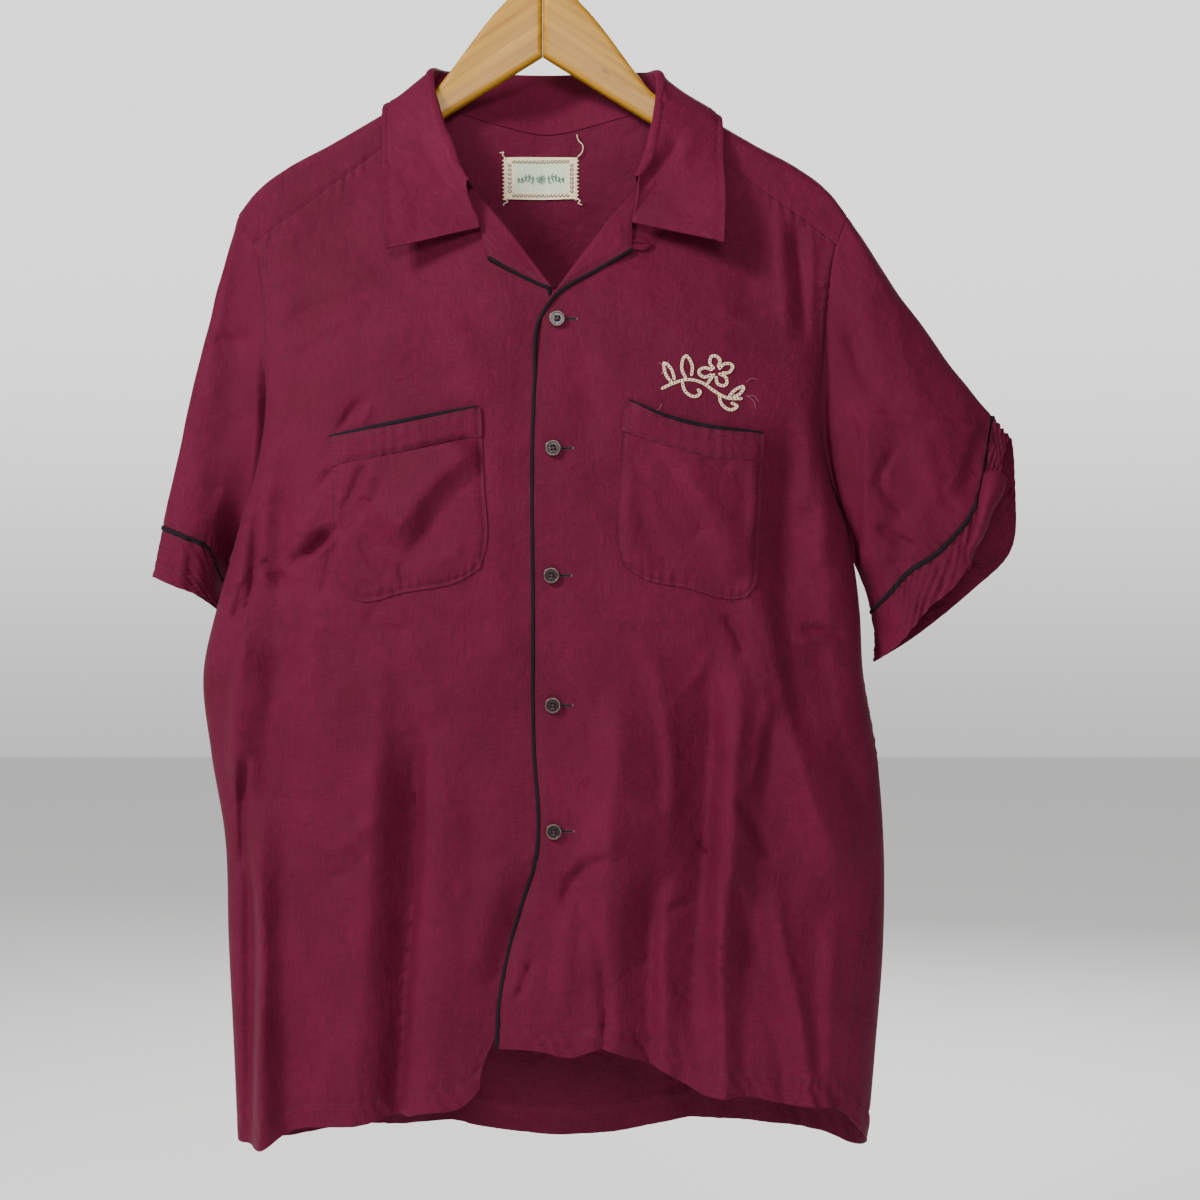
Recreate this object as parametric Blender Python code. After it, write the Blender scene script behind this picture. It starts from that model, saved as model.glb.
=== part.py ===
"""A short-sleeved bowling shirt on a wooden hanger, in metres, +Z up.

The origin is the inside top of the hanger's hook. The shirt's front faces -Y, and left and
right are as seen from the front. Every cloth piece is a thin wall on one set of surfaces: the
body's rings, the shoulder ridge over the hanger, the two sleeve tubes and the rolled collar.
"""
import math

import bmesh
import bpy
import numpy as np

# Driving dimensions
WALL = 0.0012              # cloth, seam allowances included
SEAM = 0.0003              # clearance where two pieces meet
UNDER = 0.0030             # how far the left front lies behind the right one where they lap
LAP_RAMP = 0.030           # width over which the left front drops behind
RIDGE_RADIUS = 0.011       # cloth bent over the hanger's arm
DROP_FULL = 0.190          # drop below the ridge at which the body has its full depth
ROUNDNESS = 2.5            # exponent of the body's rounded plan
ARMPIT_Z = -0.500
SHOULDER_Z = -0.243        # where the ridge ends at the armhole
YOKE_FRONT_Z = -0.266      # front yoke seam at the armhole
YOKE_BACK_Z = -0.290       # level back yoke seam
CUFF_DEPTH = 0.036
PIPING = 0.0026            # flat width of the piping at a seam
PIPING_RADIUS = 0.0012
COLLAR_ROLL = 0.0030       # radius of the collar's fold

BUTTON_RADIUS = 0.0057
BUTTON_THICKNESS = 0.0026
BUTTON_LIFT = 0.0007
BUTTON_HOLE = 0.0008
BUTTON_HOLE_SPREAD = 0.0014

WOOD_THICKNESS = 0.012
WOOD_EDGE = 0.0040
WOOD_TOP_Z = -0.064
WOOD_TIP_X = 0.204
WOOD_BELOW_RIDGE = 0.0027
WOOD_APEX_Z = -0.1256      # lower edge of the arms at the mitre joint
WOOD_SLOPE = 0.62
WIRE_RADIUS = 0.0017
HOOK_INSIDE = 0.020

# How finely the pieces are divided
SIDE_ROWS = 11             # hem to armpit
ARM_ROWS = 10              # armpit to yoke
FRONT_COLUMNS = 10
NECK_COLUMNS = 8
SLEEVE_ROWS = 7
EDGE_LEGS = (4, 3, 3)      # rows along the front edge, the roll line and the neck seam
ACROSS_FRONT = (0, 0.008, 0.035, 0.09, 0.18, 0.30, 0.43, 0.57, 0.71, 0.86, 1.0)
DOWN_YOKE_FRONT = (0, 0.05, 0.20, 0.50, 1.0)
DOWN_YOKE_BACK = (0, 0.02, 0.08, 0.22, 0.48, 0.74, 1.0)
UP_STAND = (0.30, 0.62)
ROUND_COLLAR_FOLD = (60, 90, 125)
DOWN_FALL = (0.06, 0.2, 0.4, 0.6, 0.8, 1.0)
PIPING_STEPS = 26

CLOTH = (0.157, 0.014, 0.031, 1)
PIPED = (0.020, 0.012, 0.018, 1)
WOOD = (0.52, 0.32, 0.11, 1)
STEEL = (0.62, 0.62, 0.64, 1)
HORN = (0.060, 0.035, 0.035, 1)
LABEL = (0.78, 0.68, 0.52, 1)


def table(columns, rows):
    """Named columns of a short table, sorted by its first one."""
    values = zip(*sorted(rows))
    return {name: np.array(column) for name, column in zip(columns.split(), values)}


# Rounded plan of the body at each height: its sides, its depth to the front and to the back,
# half the width of the armhole's slot, and how far round the right side seam lies.
BODY = table("z left right front back slot seam", [
    (-0.150, -0.236, 0.238, 0.032, 0.030, 0.010, 1.00),
    (-0.243, -0.225, 0.225, 0.036, 0.036, 0.010, 1.00),
    (-0.255, -0.2175, 0.2205, 0.038, 0.038, 0.011, 1.00),
    (-0.266, -0.2125, 0.2165, 0.040, 0.040, 0.013, 1.00),
    (-0.300, -0.2055, 0.2100, 0.046, 0.043, 0.016, 1.00),
    (-0.340, -0.2025, 0.2060, 0.052, 0.045, 0.020, 1.00),
    (-0.400, -0.2030, 0.2040, 0.057, 0.047, 0.020, 1.00),
    (-0.440, -0.2110, 0.2110, 0.059, 0.047, 0.015, 1.00),
    (-0.475, -0.2230, 0.2240, 0.060, 0.047, 0.007, 1.00),
    (-0.500, -0.2310, 0.2300, 0.060, 0.047, 0.000, 1.00),
    (-0.535, -0.2410, 0.2345, 0.059, 0.047, 0.000, 1.00),
    (-0.580, -0.2505, 0.2370, 0.058, 0.047, 0.000, 1.00),
    (-0.640, -0.2450, 0.2470, 0.056, 0.046, 0.000, 0.99),
    (-0.700, -0.2350, 0.2520, 0.056, 0.046, 0.000, 0.96),
    (-0.780, -0.2320, 0.2520, 0.058, 0.046, 0.000, 0.92),
    (-0.860, -0.2280, 0.2460, 0.062, 0.047, 0.000, 0.88),
    (-0.930, -0.2250, 0.2400, 0.064, 0.048, 0.000, 0.87),
])

# The shoulder's ridge over the hanger, from the middle outwards
RIDGE = table("x z", [
    (0.000, -0.098), (0.075, -0.1435), (0.115, -0.1665), (0.157, -0.1910), (0.190, -0.2090),
    (0.206, -0.2205), (0.215, -0.2295), (0.221, -0.2375), (0.225, -0.2430), (0.245, -0.2700),
])

# Outer ends of the hems, measured along x on the fronts and round the body on the back
HEM_LEFT = table("x z", [
    (-0.226, -0.925), (-0.197, -0.921), (-0.187, -0.914), (-0.124, -0.904), (-0.083, -0.894),
    (-0.052, -0.887), (-0.042, -0.876),
])
HEM_RIGHT = table("x z", [
    (-0.030, -0.848), (-0.002, -0.850), (0.020, -0.8545), (0.045, -0.849), (0.062, -0.8545),
    (0.083, -0.8625), (0.102, -0.873), (0.118, -0.8815), (0.148, -0.883), (0.175, -0.890),
    (0.212, -0.895),
])
HEM_BACK = table("round z", [
    (0.00, -0.925), (0.12, -0.932), (0.35, -0.926), (0.44, -0.935), (0.50, -0.926),
    (0.70, -0.929), (0.75, -0.934), (0.90, -0.921), (1.00, -0.895),
])

# Front edges below the open collar. The right front laps over the left one.
EDGE_RIGHT = table("z x", [
    (-0.3215, 0.0015), (-0.360, -0.0022), (-0.400, -0.0040), (-0.530, -0.0040), (-0.640, -0.0032),
    (-0.695, -0.0004), (-0.720, -0.0035), (-0.749, -0.0133), (-0.790, -0.0240), (-0.824, -0.0290),
    (-0.860, -0.0300),
])
EDGE_LEFT = table("z x", [
    (-0.3235, 0.0240), (-0.360, 0.0220), (-0.700, 0.0200), (-0.745, 0.0130), (-0.793, -0.0080),
    (-0.836, -0.0300), (-0.864, -0.0420), (-0.890, -0.0440),
])

# Neck seam and roll line of each side, as points (x, z) on the front surface
NECK = {
    "left": {"ridge": -0.084, "top": (-0.086, -0.172), "middle": (-0.0715, -0.201),
             "gorge": (-0.0505, -0.2285), "roll": (-0.013, -0.2760)},
    "right": {"ridge": 0.088, "top": (0.092, -0.175), "middle": (0.083, -0.201),
              "gorge": (0.0715, -0.2265), "roll": (0.0265, -0.2830)},
}
NECK_BACK_Z = -0.180

# Main folds: side, foot and head of the crest line, half-width, height (troughs are negative)
FOLDS = [
    # side,   x foot,  z foot,  x head,  z head, width,  height
    ("front", -0.197, -0.930, -0.207, -0.700, 0.011, 0.009),
    ("front", -0.214, -0.930, -0.212, -0.680, 0.007, -0.012),
    ("front", -0.099, -0.905, -0.088, -0.600, 0.012, 0.008),
    ("front", -0.126, -0.905, -0.112, -0.640, 0.012, -0.006),
    ("front", 0.118, -0.882, 0.130, -0.545, 0.013, 0.010),
    ("front", 0.092, -0.876, 0.104, -0.640, 0.012, -0.005),
    ("front", 0.184, -0.893, 0.152, -0.560, 0.012, 0.007),
    ("front", 0.062, -0.860, 0.044, -0.690, 0.010, -0.006),
    ("front", 0.036, -0.850, 0.036, -0.700, 0.011, 0.005),
    ("front", -0.186, -0.660, -0.172, -0.470, 0.013, -0.005),
    ("back", -0.150, -0.935, -0.130, -0.520, 0.016, 0.008),
    ("back", -0.070, -0.935, -0.060, -0.600, 0.013, 0.009),
    ("back", -0.110, -0.935, -0.095, -0.620, 0.014, -0.006),
    ("back", 0.010, -0.935, 0.005, -0.640, 0.013, -0.005),
    ("back", 0.112, -0.935, 0.095, -0.560, 0.014, 0.009),
    ("back", 0.170, -0.935, 0.160, -0.600, 0.014, -0.005),
]
FOLD_FADE = 0.30           # part of a fold's length over which its head fades out
FOLD_SIDE = 0.10           # part of the half-width over which folds fade at the sides

# Sleeves: the armhole's points run up the front from the armpit, over the shoulder and down
# the back. Each row gives the cuff's edge and the pull that bends the cloth on its way there.
SLEEVE_LEFT = table("round cuff_x cuff_y cuff_z pull_x pull_y pull_z", [
    (0.00, -0.225, 0.104, -0.560, -0.241, 0.086, -0.511),
    (0.08, -0.222, 0.068, -0.556, -0.250, 0.050, -0.506),
    (0.18, -0.232, 0.032, -0.544, -0.262, 0.014, -0.495),
    (0.30, -0.252, 0.004, -0.526, -0.252, 0.000, -0.462),
    (0.40, -0.272, -0.006, -0.518, -0.244, -0.006, -0.400),
    (0.50, -0.289, 0.002, -0.511, -0.2585, 0.000, -0.353),
    (0.60, -0.290, 0.030, -0.512, -0.250, 0.030, -0.384),
    (0.70, -0.283, 0.064, -0.517, -0.248, 0.060, -0.428),
    (0.82, -0.268, 0.100, -0.529, -0.258, 0.092, -0.478),
    (0.92, -0.246, 0.118, -0.548, -0.254, 0.108, -0.505),
    (1.00, -0.225, 0.104, -0.560, -0.241, 0.086, -0.511),
])
SLEEVE_RIGHT = table("round cuff_x cuff_y cuff_z pull_x pull_y pull_z", [
    (0.00, 0.2455, 0.002, -0.5740, 0.2490, 0.004, -0.534),
    (0.08, 0.2620, -0.016, -0.5600, 0.2520, -0.016, -0.515),
    (0.18, 0.2820, -0.022, -0.5350, 0.2500, -0.026, -0.465),
    (0.30, 0.3060, -0.024, -0.5120, 0.2560, -0.030, -0.405),
    (0.40, 0.3270, -0.020, -0.4700, 0.2680, -0.026, -0.350),
    (0.50, 0.3460, 0.000, -0.4080, 0.2840, 0.000, -0.334),
    (0.60, 0.3540, 0.018, -0.4500, 0.2720, 0.028, -0.352),
    (0.70, 0.3530, 0.026, -0.4880, 0.2580, 0.038, -0.400),
    (0.82, 0.3240, 0.028, -0.5200, 0.2500, 0.036, -0.460),
    (0.92, 0.2780, 0.020, -0.5560, 0.2520, 0.026, -0.512),
    (1.00, 0.2455, 0.002, -0.5740, 0.2490, 0.004, -0.534),
])

# The collar's fold line and outer edge, from the left gorge (-1) round the back to the right
COLLAR = table("round fold_x fold_y fold_z edge_x edge_y edge_z", [
    (-1.00, -0.0460, -0.0400, -0.2250, -0.1110, -0.0520, -0.2765),
    (-0.84, -0.0610, -0.0330, -0.2010, -0.1135, -0.0420, -0.2400),
    (-0.68, -0.0730, -0.0220, -0.1740, -0.1160, -0.0260, -0.2020),
    (-0.52, -0.0800, 0.0000, -0.1370, -0.1170, 0.0010, -0.1620),
    (-0.36, -0.0700, 0.0240, -0.1310, -0.1020, 0.0450, -0.1880),
    (-0.18, -0.0380, 0.0400, -0.1290, -0.0600, 0.0640, -0.2010),
    (0.00, 0.0020, 0.0450, -0.1290, 0.0030, 0.0690, -0.2050),
    (0.18, 0.0420, 0.0400, -0.1290, 0.0660, 0.0640, -0.2030),
    (0.36, 0.0740, 0.0240, -0.1320, 0.1120, 0.0450, -0.1920),
    (0.52, 0.0840, 0.0000, -0.1390, 0.1310, 0.0010, -0.1700),
    (0.68, 0.0800, -0.0220, -0.1790, 0.1320, -0.0260, -0.2060),
    (0.84, 0.0750, -0.0330, -0.2020, 0.1330, -0.0420, -0.2380),
    (1.00, 0.0670, -0.0400, -0.2220, 0.1315, -0.0520, -0.2715),
])
NOTCH = {"left": (-0.0440, -0.2590), "right": (0.0650, -0.2555)}
FALL_CLEARANCE = 0.0022    # the fall's underside above the shoulder and the fronts

# Outlines (x, z) of what lies on the fronts
LAPEL_LEFT = [(-0.0530, -0.2270), (-0.0440, -0.2600), (-0.0385, -0.2795), (0.0085, -0.3030),
              (0.0300, -0.3000), (-0.0200, -0.2100)]
LAPEL_RIGHT = [(0.0745, -0.2250), (0.0655, -0.2560), (0.0650, -0.2735), (0.0370, -0.2905),
               (0.0180, -0.3020), (0.0075, -0.3085), (-0.0100, -0.3000), (0.0450, -0.2100)]
TAB = [(0.0655, -0.2660), (0.0760, -0.2655), (0.0800, -0.2695), (0.0762, -0.2735),
       (0.0655, -0.2735)]
POCKETS = {
    "left": {"top": [(-0.1535, -0.4115), (-0.0430, -0.3900)],
             "band": [(-0.1500, -0.4320), (-0.0418, -0.4112)],
             "sides": [(-0.1488, -0.4693), (-0.1478, -0.5050), (-0.1435, -0.5190),
                       (-0.1330, -0.5275), (-0.0960, -0.5223), (-0.0550, -0.5130),
                       (-0.0430, -0.5060), (-0.0388, -0.4950), (-0.0402, -0.4471)]},
    "right": {"top": [(0.0620, -0.3850), (0.0897, -0.3978), (0.1176, -0.4048), (0.1613, -0.4085)],
              "band": [(0.0582, -0.4071), (0.0897, -0.4178), (0.1230, -0.4262),
                       (0.1600, -0.4290)],
              "sides": [(0.0561, -0.4507), (0.0554, -0.4894), (0.0580, -0.5010),
                        (0.0660, -0.5095), (0.1040, -0.5194), (0.1370, -0.5273),
                        (0.1460, -0.5262), (0.1520, -0.5190), (0.1570, -0.4922)]},
}
NECK_LABEL = [(-0.0295, -0.1965), (0.0255, -0.1965), (0.0255, -0.2265), (-0.0295, -0.2265)]
BUTTONS = [(0.0118, -0.3262), (0.0090, -0.4196), (0.0078, -0.5105), (0.0088, -0.6032),
           (0.0096, -0.6935)]


def through(keys, values, at):
    """Smooth curve through a table's values, held level beyond its ends."""
    at = np.clip(at, keys[0], keys[-1])
    slopes = np.gradient(values, keys)
    i = np.clip(np.searchsorted(keys, at, side="right") - 1, 0, len(keys) - 2)
    span = keys[i + 1] - keys[i]
    t = (at - keys[i]) / span
    return (values[i] * (1 + 2 * t) * (1 - t) ** 2 + slopes[i] * span * t * (1 - t) ** 2
            + values[i + 1] * t * t * (3 - 2 * t) - slopes[i + 1] * span * t * t * (1 - t))


def ease(t):
    t = np.clip(t, 0.0, 1.0)
    return t * t * (3 - 2 * t)


def body(column, z):
    return through(BODY["z"], BODY[column], z)


def ridge_z(x):
    return through(RIDGE["x"], RIDGE["z"], np.abs(x))


def fold_height(side, x, z, aside):
    """Sum of the folds of one side; they fade towards the side seams."""
    height = 0.0
    for fold_side, x_foot, z_foot, x_head, z_head, width, crest in FOLDS:
        if fold_side != side:
            continue
        up = (z - z_foot) / (z_head - z_foot)
        middle = x_foot + (x_head - x_foot) * np.clip(up, 0.0, 1.0)
        height = height + crest * np.exp(-((x - middle) / width) ** 2) * ease((1 - up) / FOLD_FADE)
    return height * ease((1 - aside) / FOLD_SIDE)


def surface_y(side, x, z):
    """Outer surface of the body, in front of the hanger or behind it."""
    left, right = body("left", z), body("right", z)
    aside = np.minimum(np.round(np.abs(x - (left + right) / 2) / ((right - left) / 2), 6), 1.0)
    rounded = (1 - aside ** ROUNDNESS) ** (1 / ROUNDNESS)
    drop = np.maximum(ridge_z(x) - z, 0.0)
    over_arm = RIDGE_RADIUS * np.sqrt(1 - (1 - np.minimum(drop / RIDGE_RADIUS, 1.0)) ** 2)
    reach = over_arm + (body(side, z) - RIDGE_RADIUS) * ease(drop / DROP_FULL)
    slot = np.clip(body("slot", z), 0.0, reach)
    out = slot + (reach - slot) * rounded + fold_height(side, x, z, aside)
    return -out if side == "front" else out


def front_y(x, z):
    return surface_y("front", x, z)


def left_front_y(x, z):
    """The left front, which drops behind the right one where they lap."""
    lap = through(EDGE_RIGHT["z"], EDGE_RIGHT["x"], z) - LAP_RAMP
    return front_y(x, z) + UNDER * ease((x - lap) / (LAP_RAMP - PIPING))


def back_y(x, z):
    return surface_y("back", x, z)


def raised(x, z, depth):
    """Points with their depth worked out from a surface."""
    return np.stack([x, depth(x, z), z], axis=-1)


def seam_reach(z):
    """Half-width at the right side seam as a part of the body's half-width."""
    return np.round(np.clip(body("seam", z), 0.0, 1.0), 4)


def side_seam_x(side, z):
    left, right = body("left", z), body("right", z)
    reach = seam_reach(z) if side == "right" else -1.0
    return (left + right) / 2 + (right - left) / 2 * reach


def front_grid(side, hem, edge, depth):
    """One front: level rows from hem to armpit, then a patch up to the yoke and neck seams."""
    across = np.array(ACROSS_FRONT)

    def edge_x(z):
        return through(edge["z"], edge["x"], z)

    def x_at(u, z):
        return side_seam_x(side, z) * (1 - u) + edge_x(z) * u

    z_hem = np.full(len(across), hem["z"].mean())
    for _ in range(6):
        z_hem = through(hem["x"], hem["z"], x_at(across, z_hem))
    z_hem[0] = HEM_BACK["z"][0 if side == "left" else -1]
    rows = []
    for j in range(SIDE_ROWS):
        z = z_hem + (ARMPIT_Z - z_hem) * j / SIDE_ROWS
        rows.append(raised(x_at(across, z), z, depth))

    neck = NECK[side]
    arm_z = np.linspace(ARMPIT_Z, YOKE_FRONT_Z, ARM_ROWS + 1)
    arm = np.stack([side_seam_x(side, arm_z), arm_z], axis=-1)
    edge_z = np.linspace(ARMPIT_Z, edge["z"][-1], EDGE_LEGS[0] + 1)
    inner = [np.stack([edge_x(edge_z), edge_z], axis=-1)]
    roll = [inner[0][-1], neck["roll"], neck["gorge"]]
    inner.append(smooth_line(roll, EDGE_LEGS[1])[1:])
    inner.append(smooth_line([neck["gorge"], neck["middle"], neck["top"]], EDGE_LEGS[2])[1:])
    inner = np.concatenate(inner)
    bottom = np.stack([x_at(across, ARMPIT_Z), np.full(len(across), ARMPIT_Z)], axis=-1)
    even = np.linspace(0, 1, FRONT_COLUMNS + 1)
    top = arm[-1] * (1 - even[:, None]) + inner[-1] * even[:, None]
    for j in range(ARM_ROWS + 1):
        v = j / ARM_ROWS
        u = across * (1 - v) + even * v
        sides = arm[j] * (1 - u[:, None]) + inner[j] * u[:, None]
        ends = bottom * (1 - v) + top * v
        low = arm[0] * (1 - u[:, None]) + inner[0] * u[:, None]
        high = arm[-1] * (1 - u[:, None]) + inner[-1] * u[:, None]
        points = sides + ends - (low * (1 - v) + high * v)
        rows.append(raised(points[:, 0], points[:, 1], depth))
    return np.array(rows)


def smooth_line(points, count):
    """Even steps along a smooth curve through three or more points."""
    points = np.array(points, float)
    length = np.concatenate([[0], np.cumsum(np.linalg.norm(np.diff(points, axis=0), axis=1))])
    at = np.linspace(0, length[-1], count + 1)
    return np.stack([through(length, points[:, k], at) for k in range(points.shape[1])], axis=-1)


def round_the_back(z, columns):
    """Points of the back at each height, from the left side seam round to the right one."""
    left, right = body("left", z), body("right", z)
    past = np.arccos(seam_reach(z) ** (ROUNDNESS / 2))
    turn = (math.pi + past) * np.linspace(0, 1, columns + 1)
    aside = -np.sign(np.cos(turn)) * np.abs(np.cos(turn)) ** (2 / ROUNDNESS)
    x = (left + right) / 2 + (right - left) / 2 * aside
    return x, turn > math.pi + 1e-5


def back_grid():
    columns = 2 * FRONT_COLUMNS + NECK_COLUMNS
    around = np.linspace(0, 1, columns + 1)
    z_hem = through(HEM_BACK["round"], HEM_BACK["z"], around)
    rows = []
    for j in range(SIDE_ROWS + ARM_ROWS + 1):
        if j <= SIDE_ROWS:
            z = z_hem + (ARMPIT_Z - z_hem) * j / SIDE_ROWS
        else:
            level = ARMPIT_Z + (YOKE_BACK_Z - ARMPIT_Z) * (j - SIDE_ROWS) / ARM_ROWS
            z = np.full(columns + 1, level)
        x, wraps = round_the_back(z, columns)
        rows.append(raised(x, z, lambda x, z: np.where(wraps, front_y(x, z), back_y(x, z))))
    return np.array(rows)


def neck_seam_back(count):
    """Back neck seam from the left ridge point to the right one, as x and z.

    It drops straight down behind the hanger's arms before it turns towards the middle.
    """
    left, right = NECK["left"]["ridge"], NECK["right"]["ridge"]
    half = np.linspace(0, 1, count // 2 - 1)[1:]
    bend = np.sin(half * math.pi / 4) * math.sqrt(2)
    across = np.concatenate([[0, 0.004, 0.018], 0.018 + 0.982 * bend])
    fall = np.concatenate([[0, 0.09, 0.29], 1 - 0.71 * (1 - half) ** 1.6])
    x, z = [], []
    for side, end in (("left", left), ("right", right)):
        x.append(end + ((left + right) / 2 - end) * across)
        z.append(ridge_z(end) + (NECK_BACK_Z - ridge_z(end)) * fall)
    return (np.concatenate([x[0], x[1][::-1][1:]]), np.concatenate([z[0], z[1][::-1][1:]]))


def yoke_grids(fronts, back):
    """The back of the yoke and its two front parts, which share the ridge."""
    ends = {"left": body("left", SHOULDER_Z), "right": body("right", SHOULDER_Z)}
    ridge = {}
    for side in ("left", "right"):
        x = np.linspace(ends[side], NECK[side]["ridge"], FRONT_COLUMNS + 1)
        ridge[side] = np.stack([x, ridge_z(x)], axis=-1)
    neck = np.stack(neck_seam_back(NECK_COLUMNS), axis=-1)
    top = np.concatenate([ridge["left"], neck[1:-1], ridge["right"][::-1]])
    seam = back[-1][:, [0, 2]]
    rows = []
    for v in DOWN_YOKE_BACK:
        points = top * (1 - v) + seam * v
        points[0, 0] = body("left", points[0, 1])
        points[-1, 0] = body("right", points[-1, 1])
        rows.append(raised(points[:, 0], points[:, 1], back_y))
    grids = {"back": np.array(rows)}
    for side in ("left", "right"):
        seam = fronts[side][-1][:, [0, 2]]
        rows = []
        for v in DOWN_YOKE_FRONT[::-1]:
            points = ridge[side] * (1 - v) + seam * v
            points[0, 0] = body(side, points[0, 1])
            rows.append(raised(points[:, 0], points[:, 1], front_y))
        grids[side] = np.array(rows)
    return grids


def sleeve_grids(side, fronts, back, yoke):
    """Sleeve, piping and cuff as one tube from the armhole, cut at the cuff's seams."""
    at_back, at_yoke = (0, 0) if side == "left" else (-1, -1)
    front_edge = fronts[side][SIDE_ROWS:, 0]
    over = yoke[side][1:, 0]
    behind = yoke["back"][1:, at_yoke]
    back_edge = back[SIDE_ROWS:, at_back][::-1][1:-1]
    armhole = np.concatenate([front_edge, over, behind, back_edge])
    top = len(front_edge) + len(over) - 1
    count = len(armhole)
    front_part = np.linspace(0, 0.5, top + 1)
    back_part = np.linspace(0.5, 1, count - top + 1)[1:-1]
    around = np.concatenate([front_part, back_part])
    shape = SLEEVE_LEFT if side == "left" else SLEEVE_RIGHT
    pull = np.stack([through(shape["round"], shape["pull_" + k], around) for k in "xyz"], -1)
    cuff = np.stack([through(shape["round"], shape["cuff_" + k], around) for k in "xyz"], -1)
    fine = np.linspace(0, 1, 81)[:, None, None]
    tube = armhole * (1 - fine) ** 2 + 2 * pull * fine * (1 - fine) + cuff * fine ** 2
    steps = np.linalg.norm(np.diff(tube, axis=0), axis=2)
    run = np.concatenate([np.zeros((1, count)), np.cumsum(steps, axis=0)])

    def ring_at(lengths):
        ring = [[np.interp(lengths[i], run[:, i], tube[:, i, k]) for k in range(3)]
                for i in range(count)]
        return np.array(ring)

    whole = run[-1]
    cloth_end = whole - CUFF_DEPTH - PIPING
    sleeve = [armhole] + [ring_at(cloth_end * j / SLEEVE_ROWS) for j in range(1, SLEEVE_ROWS + 1)]
    piped = [sleeve[-1], ring_at(cloth_end + PIPING)]
    cuffs = [piped[-1], ring_at(whole - CUFF_DEPTH / 2), ring_at(whole)]
    return [np.array([np.concatenate([ring, ring[:1]]) for ring in rings])
            for rings in (sleeve, piped, cuffs)]


def above_body(points, clearance):
    """Moves points out of the body's surface until they clear it."""
    out = points.copy()
    x, y, z = points[:, 0], points[:, 1], points[:, 2]
    drop = ridge_z(x) - z
    near = drop > -clearance
    front, behind = front_y(x, z) - clearance, back_y(x, z) + clearance
    out[:, 1] = np.where(near & (y < 0.002), np.minimum(y, front), y)
    out[:, 1] = np.where(near & (y >= 0.002), np.maximum(y, behind), out[:, 1])
    return out


def collar_grid(fronts, yoke):
    """One strip: up from the neck seam, over the fold and down to the outer edge."""
    gorge = SIDE_ROWS + EDGE_LEGS[0] + EDGE_LEGS[1]
    left = fronts["left"][gorge:, -1]
    right = fronts["right"][gorge:, -1]
    over_left, over_right = yoke["left"][1:, -1], yoke["right"][1:, -1]
    behind = yoke["back"][0][FRONT_COLUMNS:FRONT_COLUMNS + NECK_COLUMNS + 1]
    seam = np.concatenate([left, over_left[:-1], behind, over_right[:-1][::-1], right[::-1]])
    steps = np.linalg.norm(np.diff(seam, axis=0), axis=1)
    run = np.concatenate([[0], np.cumsum(steps)])
    around = 2 * run / run[-1] - 1
    fold = np.stack([through(COLLAR["round"], COLLAR["fold_" + k], around) for k in "xyz"], -1)
    edge = np.stack([through(COLLAR["round"], COLLAR["edge_" + k], around) for k in "xyz"], -1)
    outward = edge - fold
    outward[:, 2] = 0
    outward /= np.linalg.norm(outward, axis=1)[:, None]
    rows = [seam]
    for v in UP_STAND:
        rows.append(seam * (1 - v) + fold * v)
    start = fold + outward * COLLAR_ROLL * 2
    for angle in ROUND_COLLAR_FOLD:
        a = math.radians(angle)
        lift = np.array([0, 0, COLLAR_ROLL * (math.sin(a) - 1)])
        rows.append(fold + outward * COLLAR_ROLL * (1 - math.cos(a)) + lift)
    for v in DOWN_FALL:
        row = start * (1 - v) + edge * v
        for side, end in (("left", -1), ("right", 1)):
            pull = ease((end * around - 0.62) / 0.38)[:, None]
            notch = np.array([NOTCH[side][0], start[0 if end < 0 else -1, 1], NOTCH[side][1]])
            first, last = (start[0], edge[0]) if end < 0 else (start[-1], edge[-1])
            knee = 0.4
            bent = (first + (notch - first) * v / knee if v < knee
                    else notch + (last - notch) * (v - knee) / (1 - knee))
            row = row + pull * (bent - (first * (1 - v) + last * v))
        rows.append(above_body(row, FALL_CLEARANCE))
    return np.array(rows)


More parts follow.
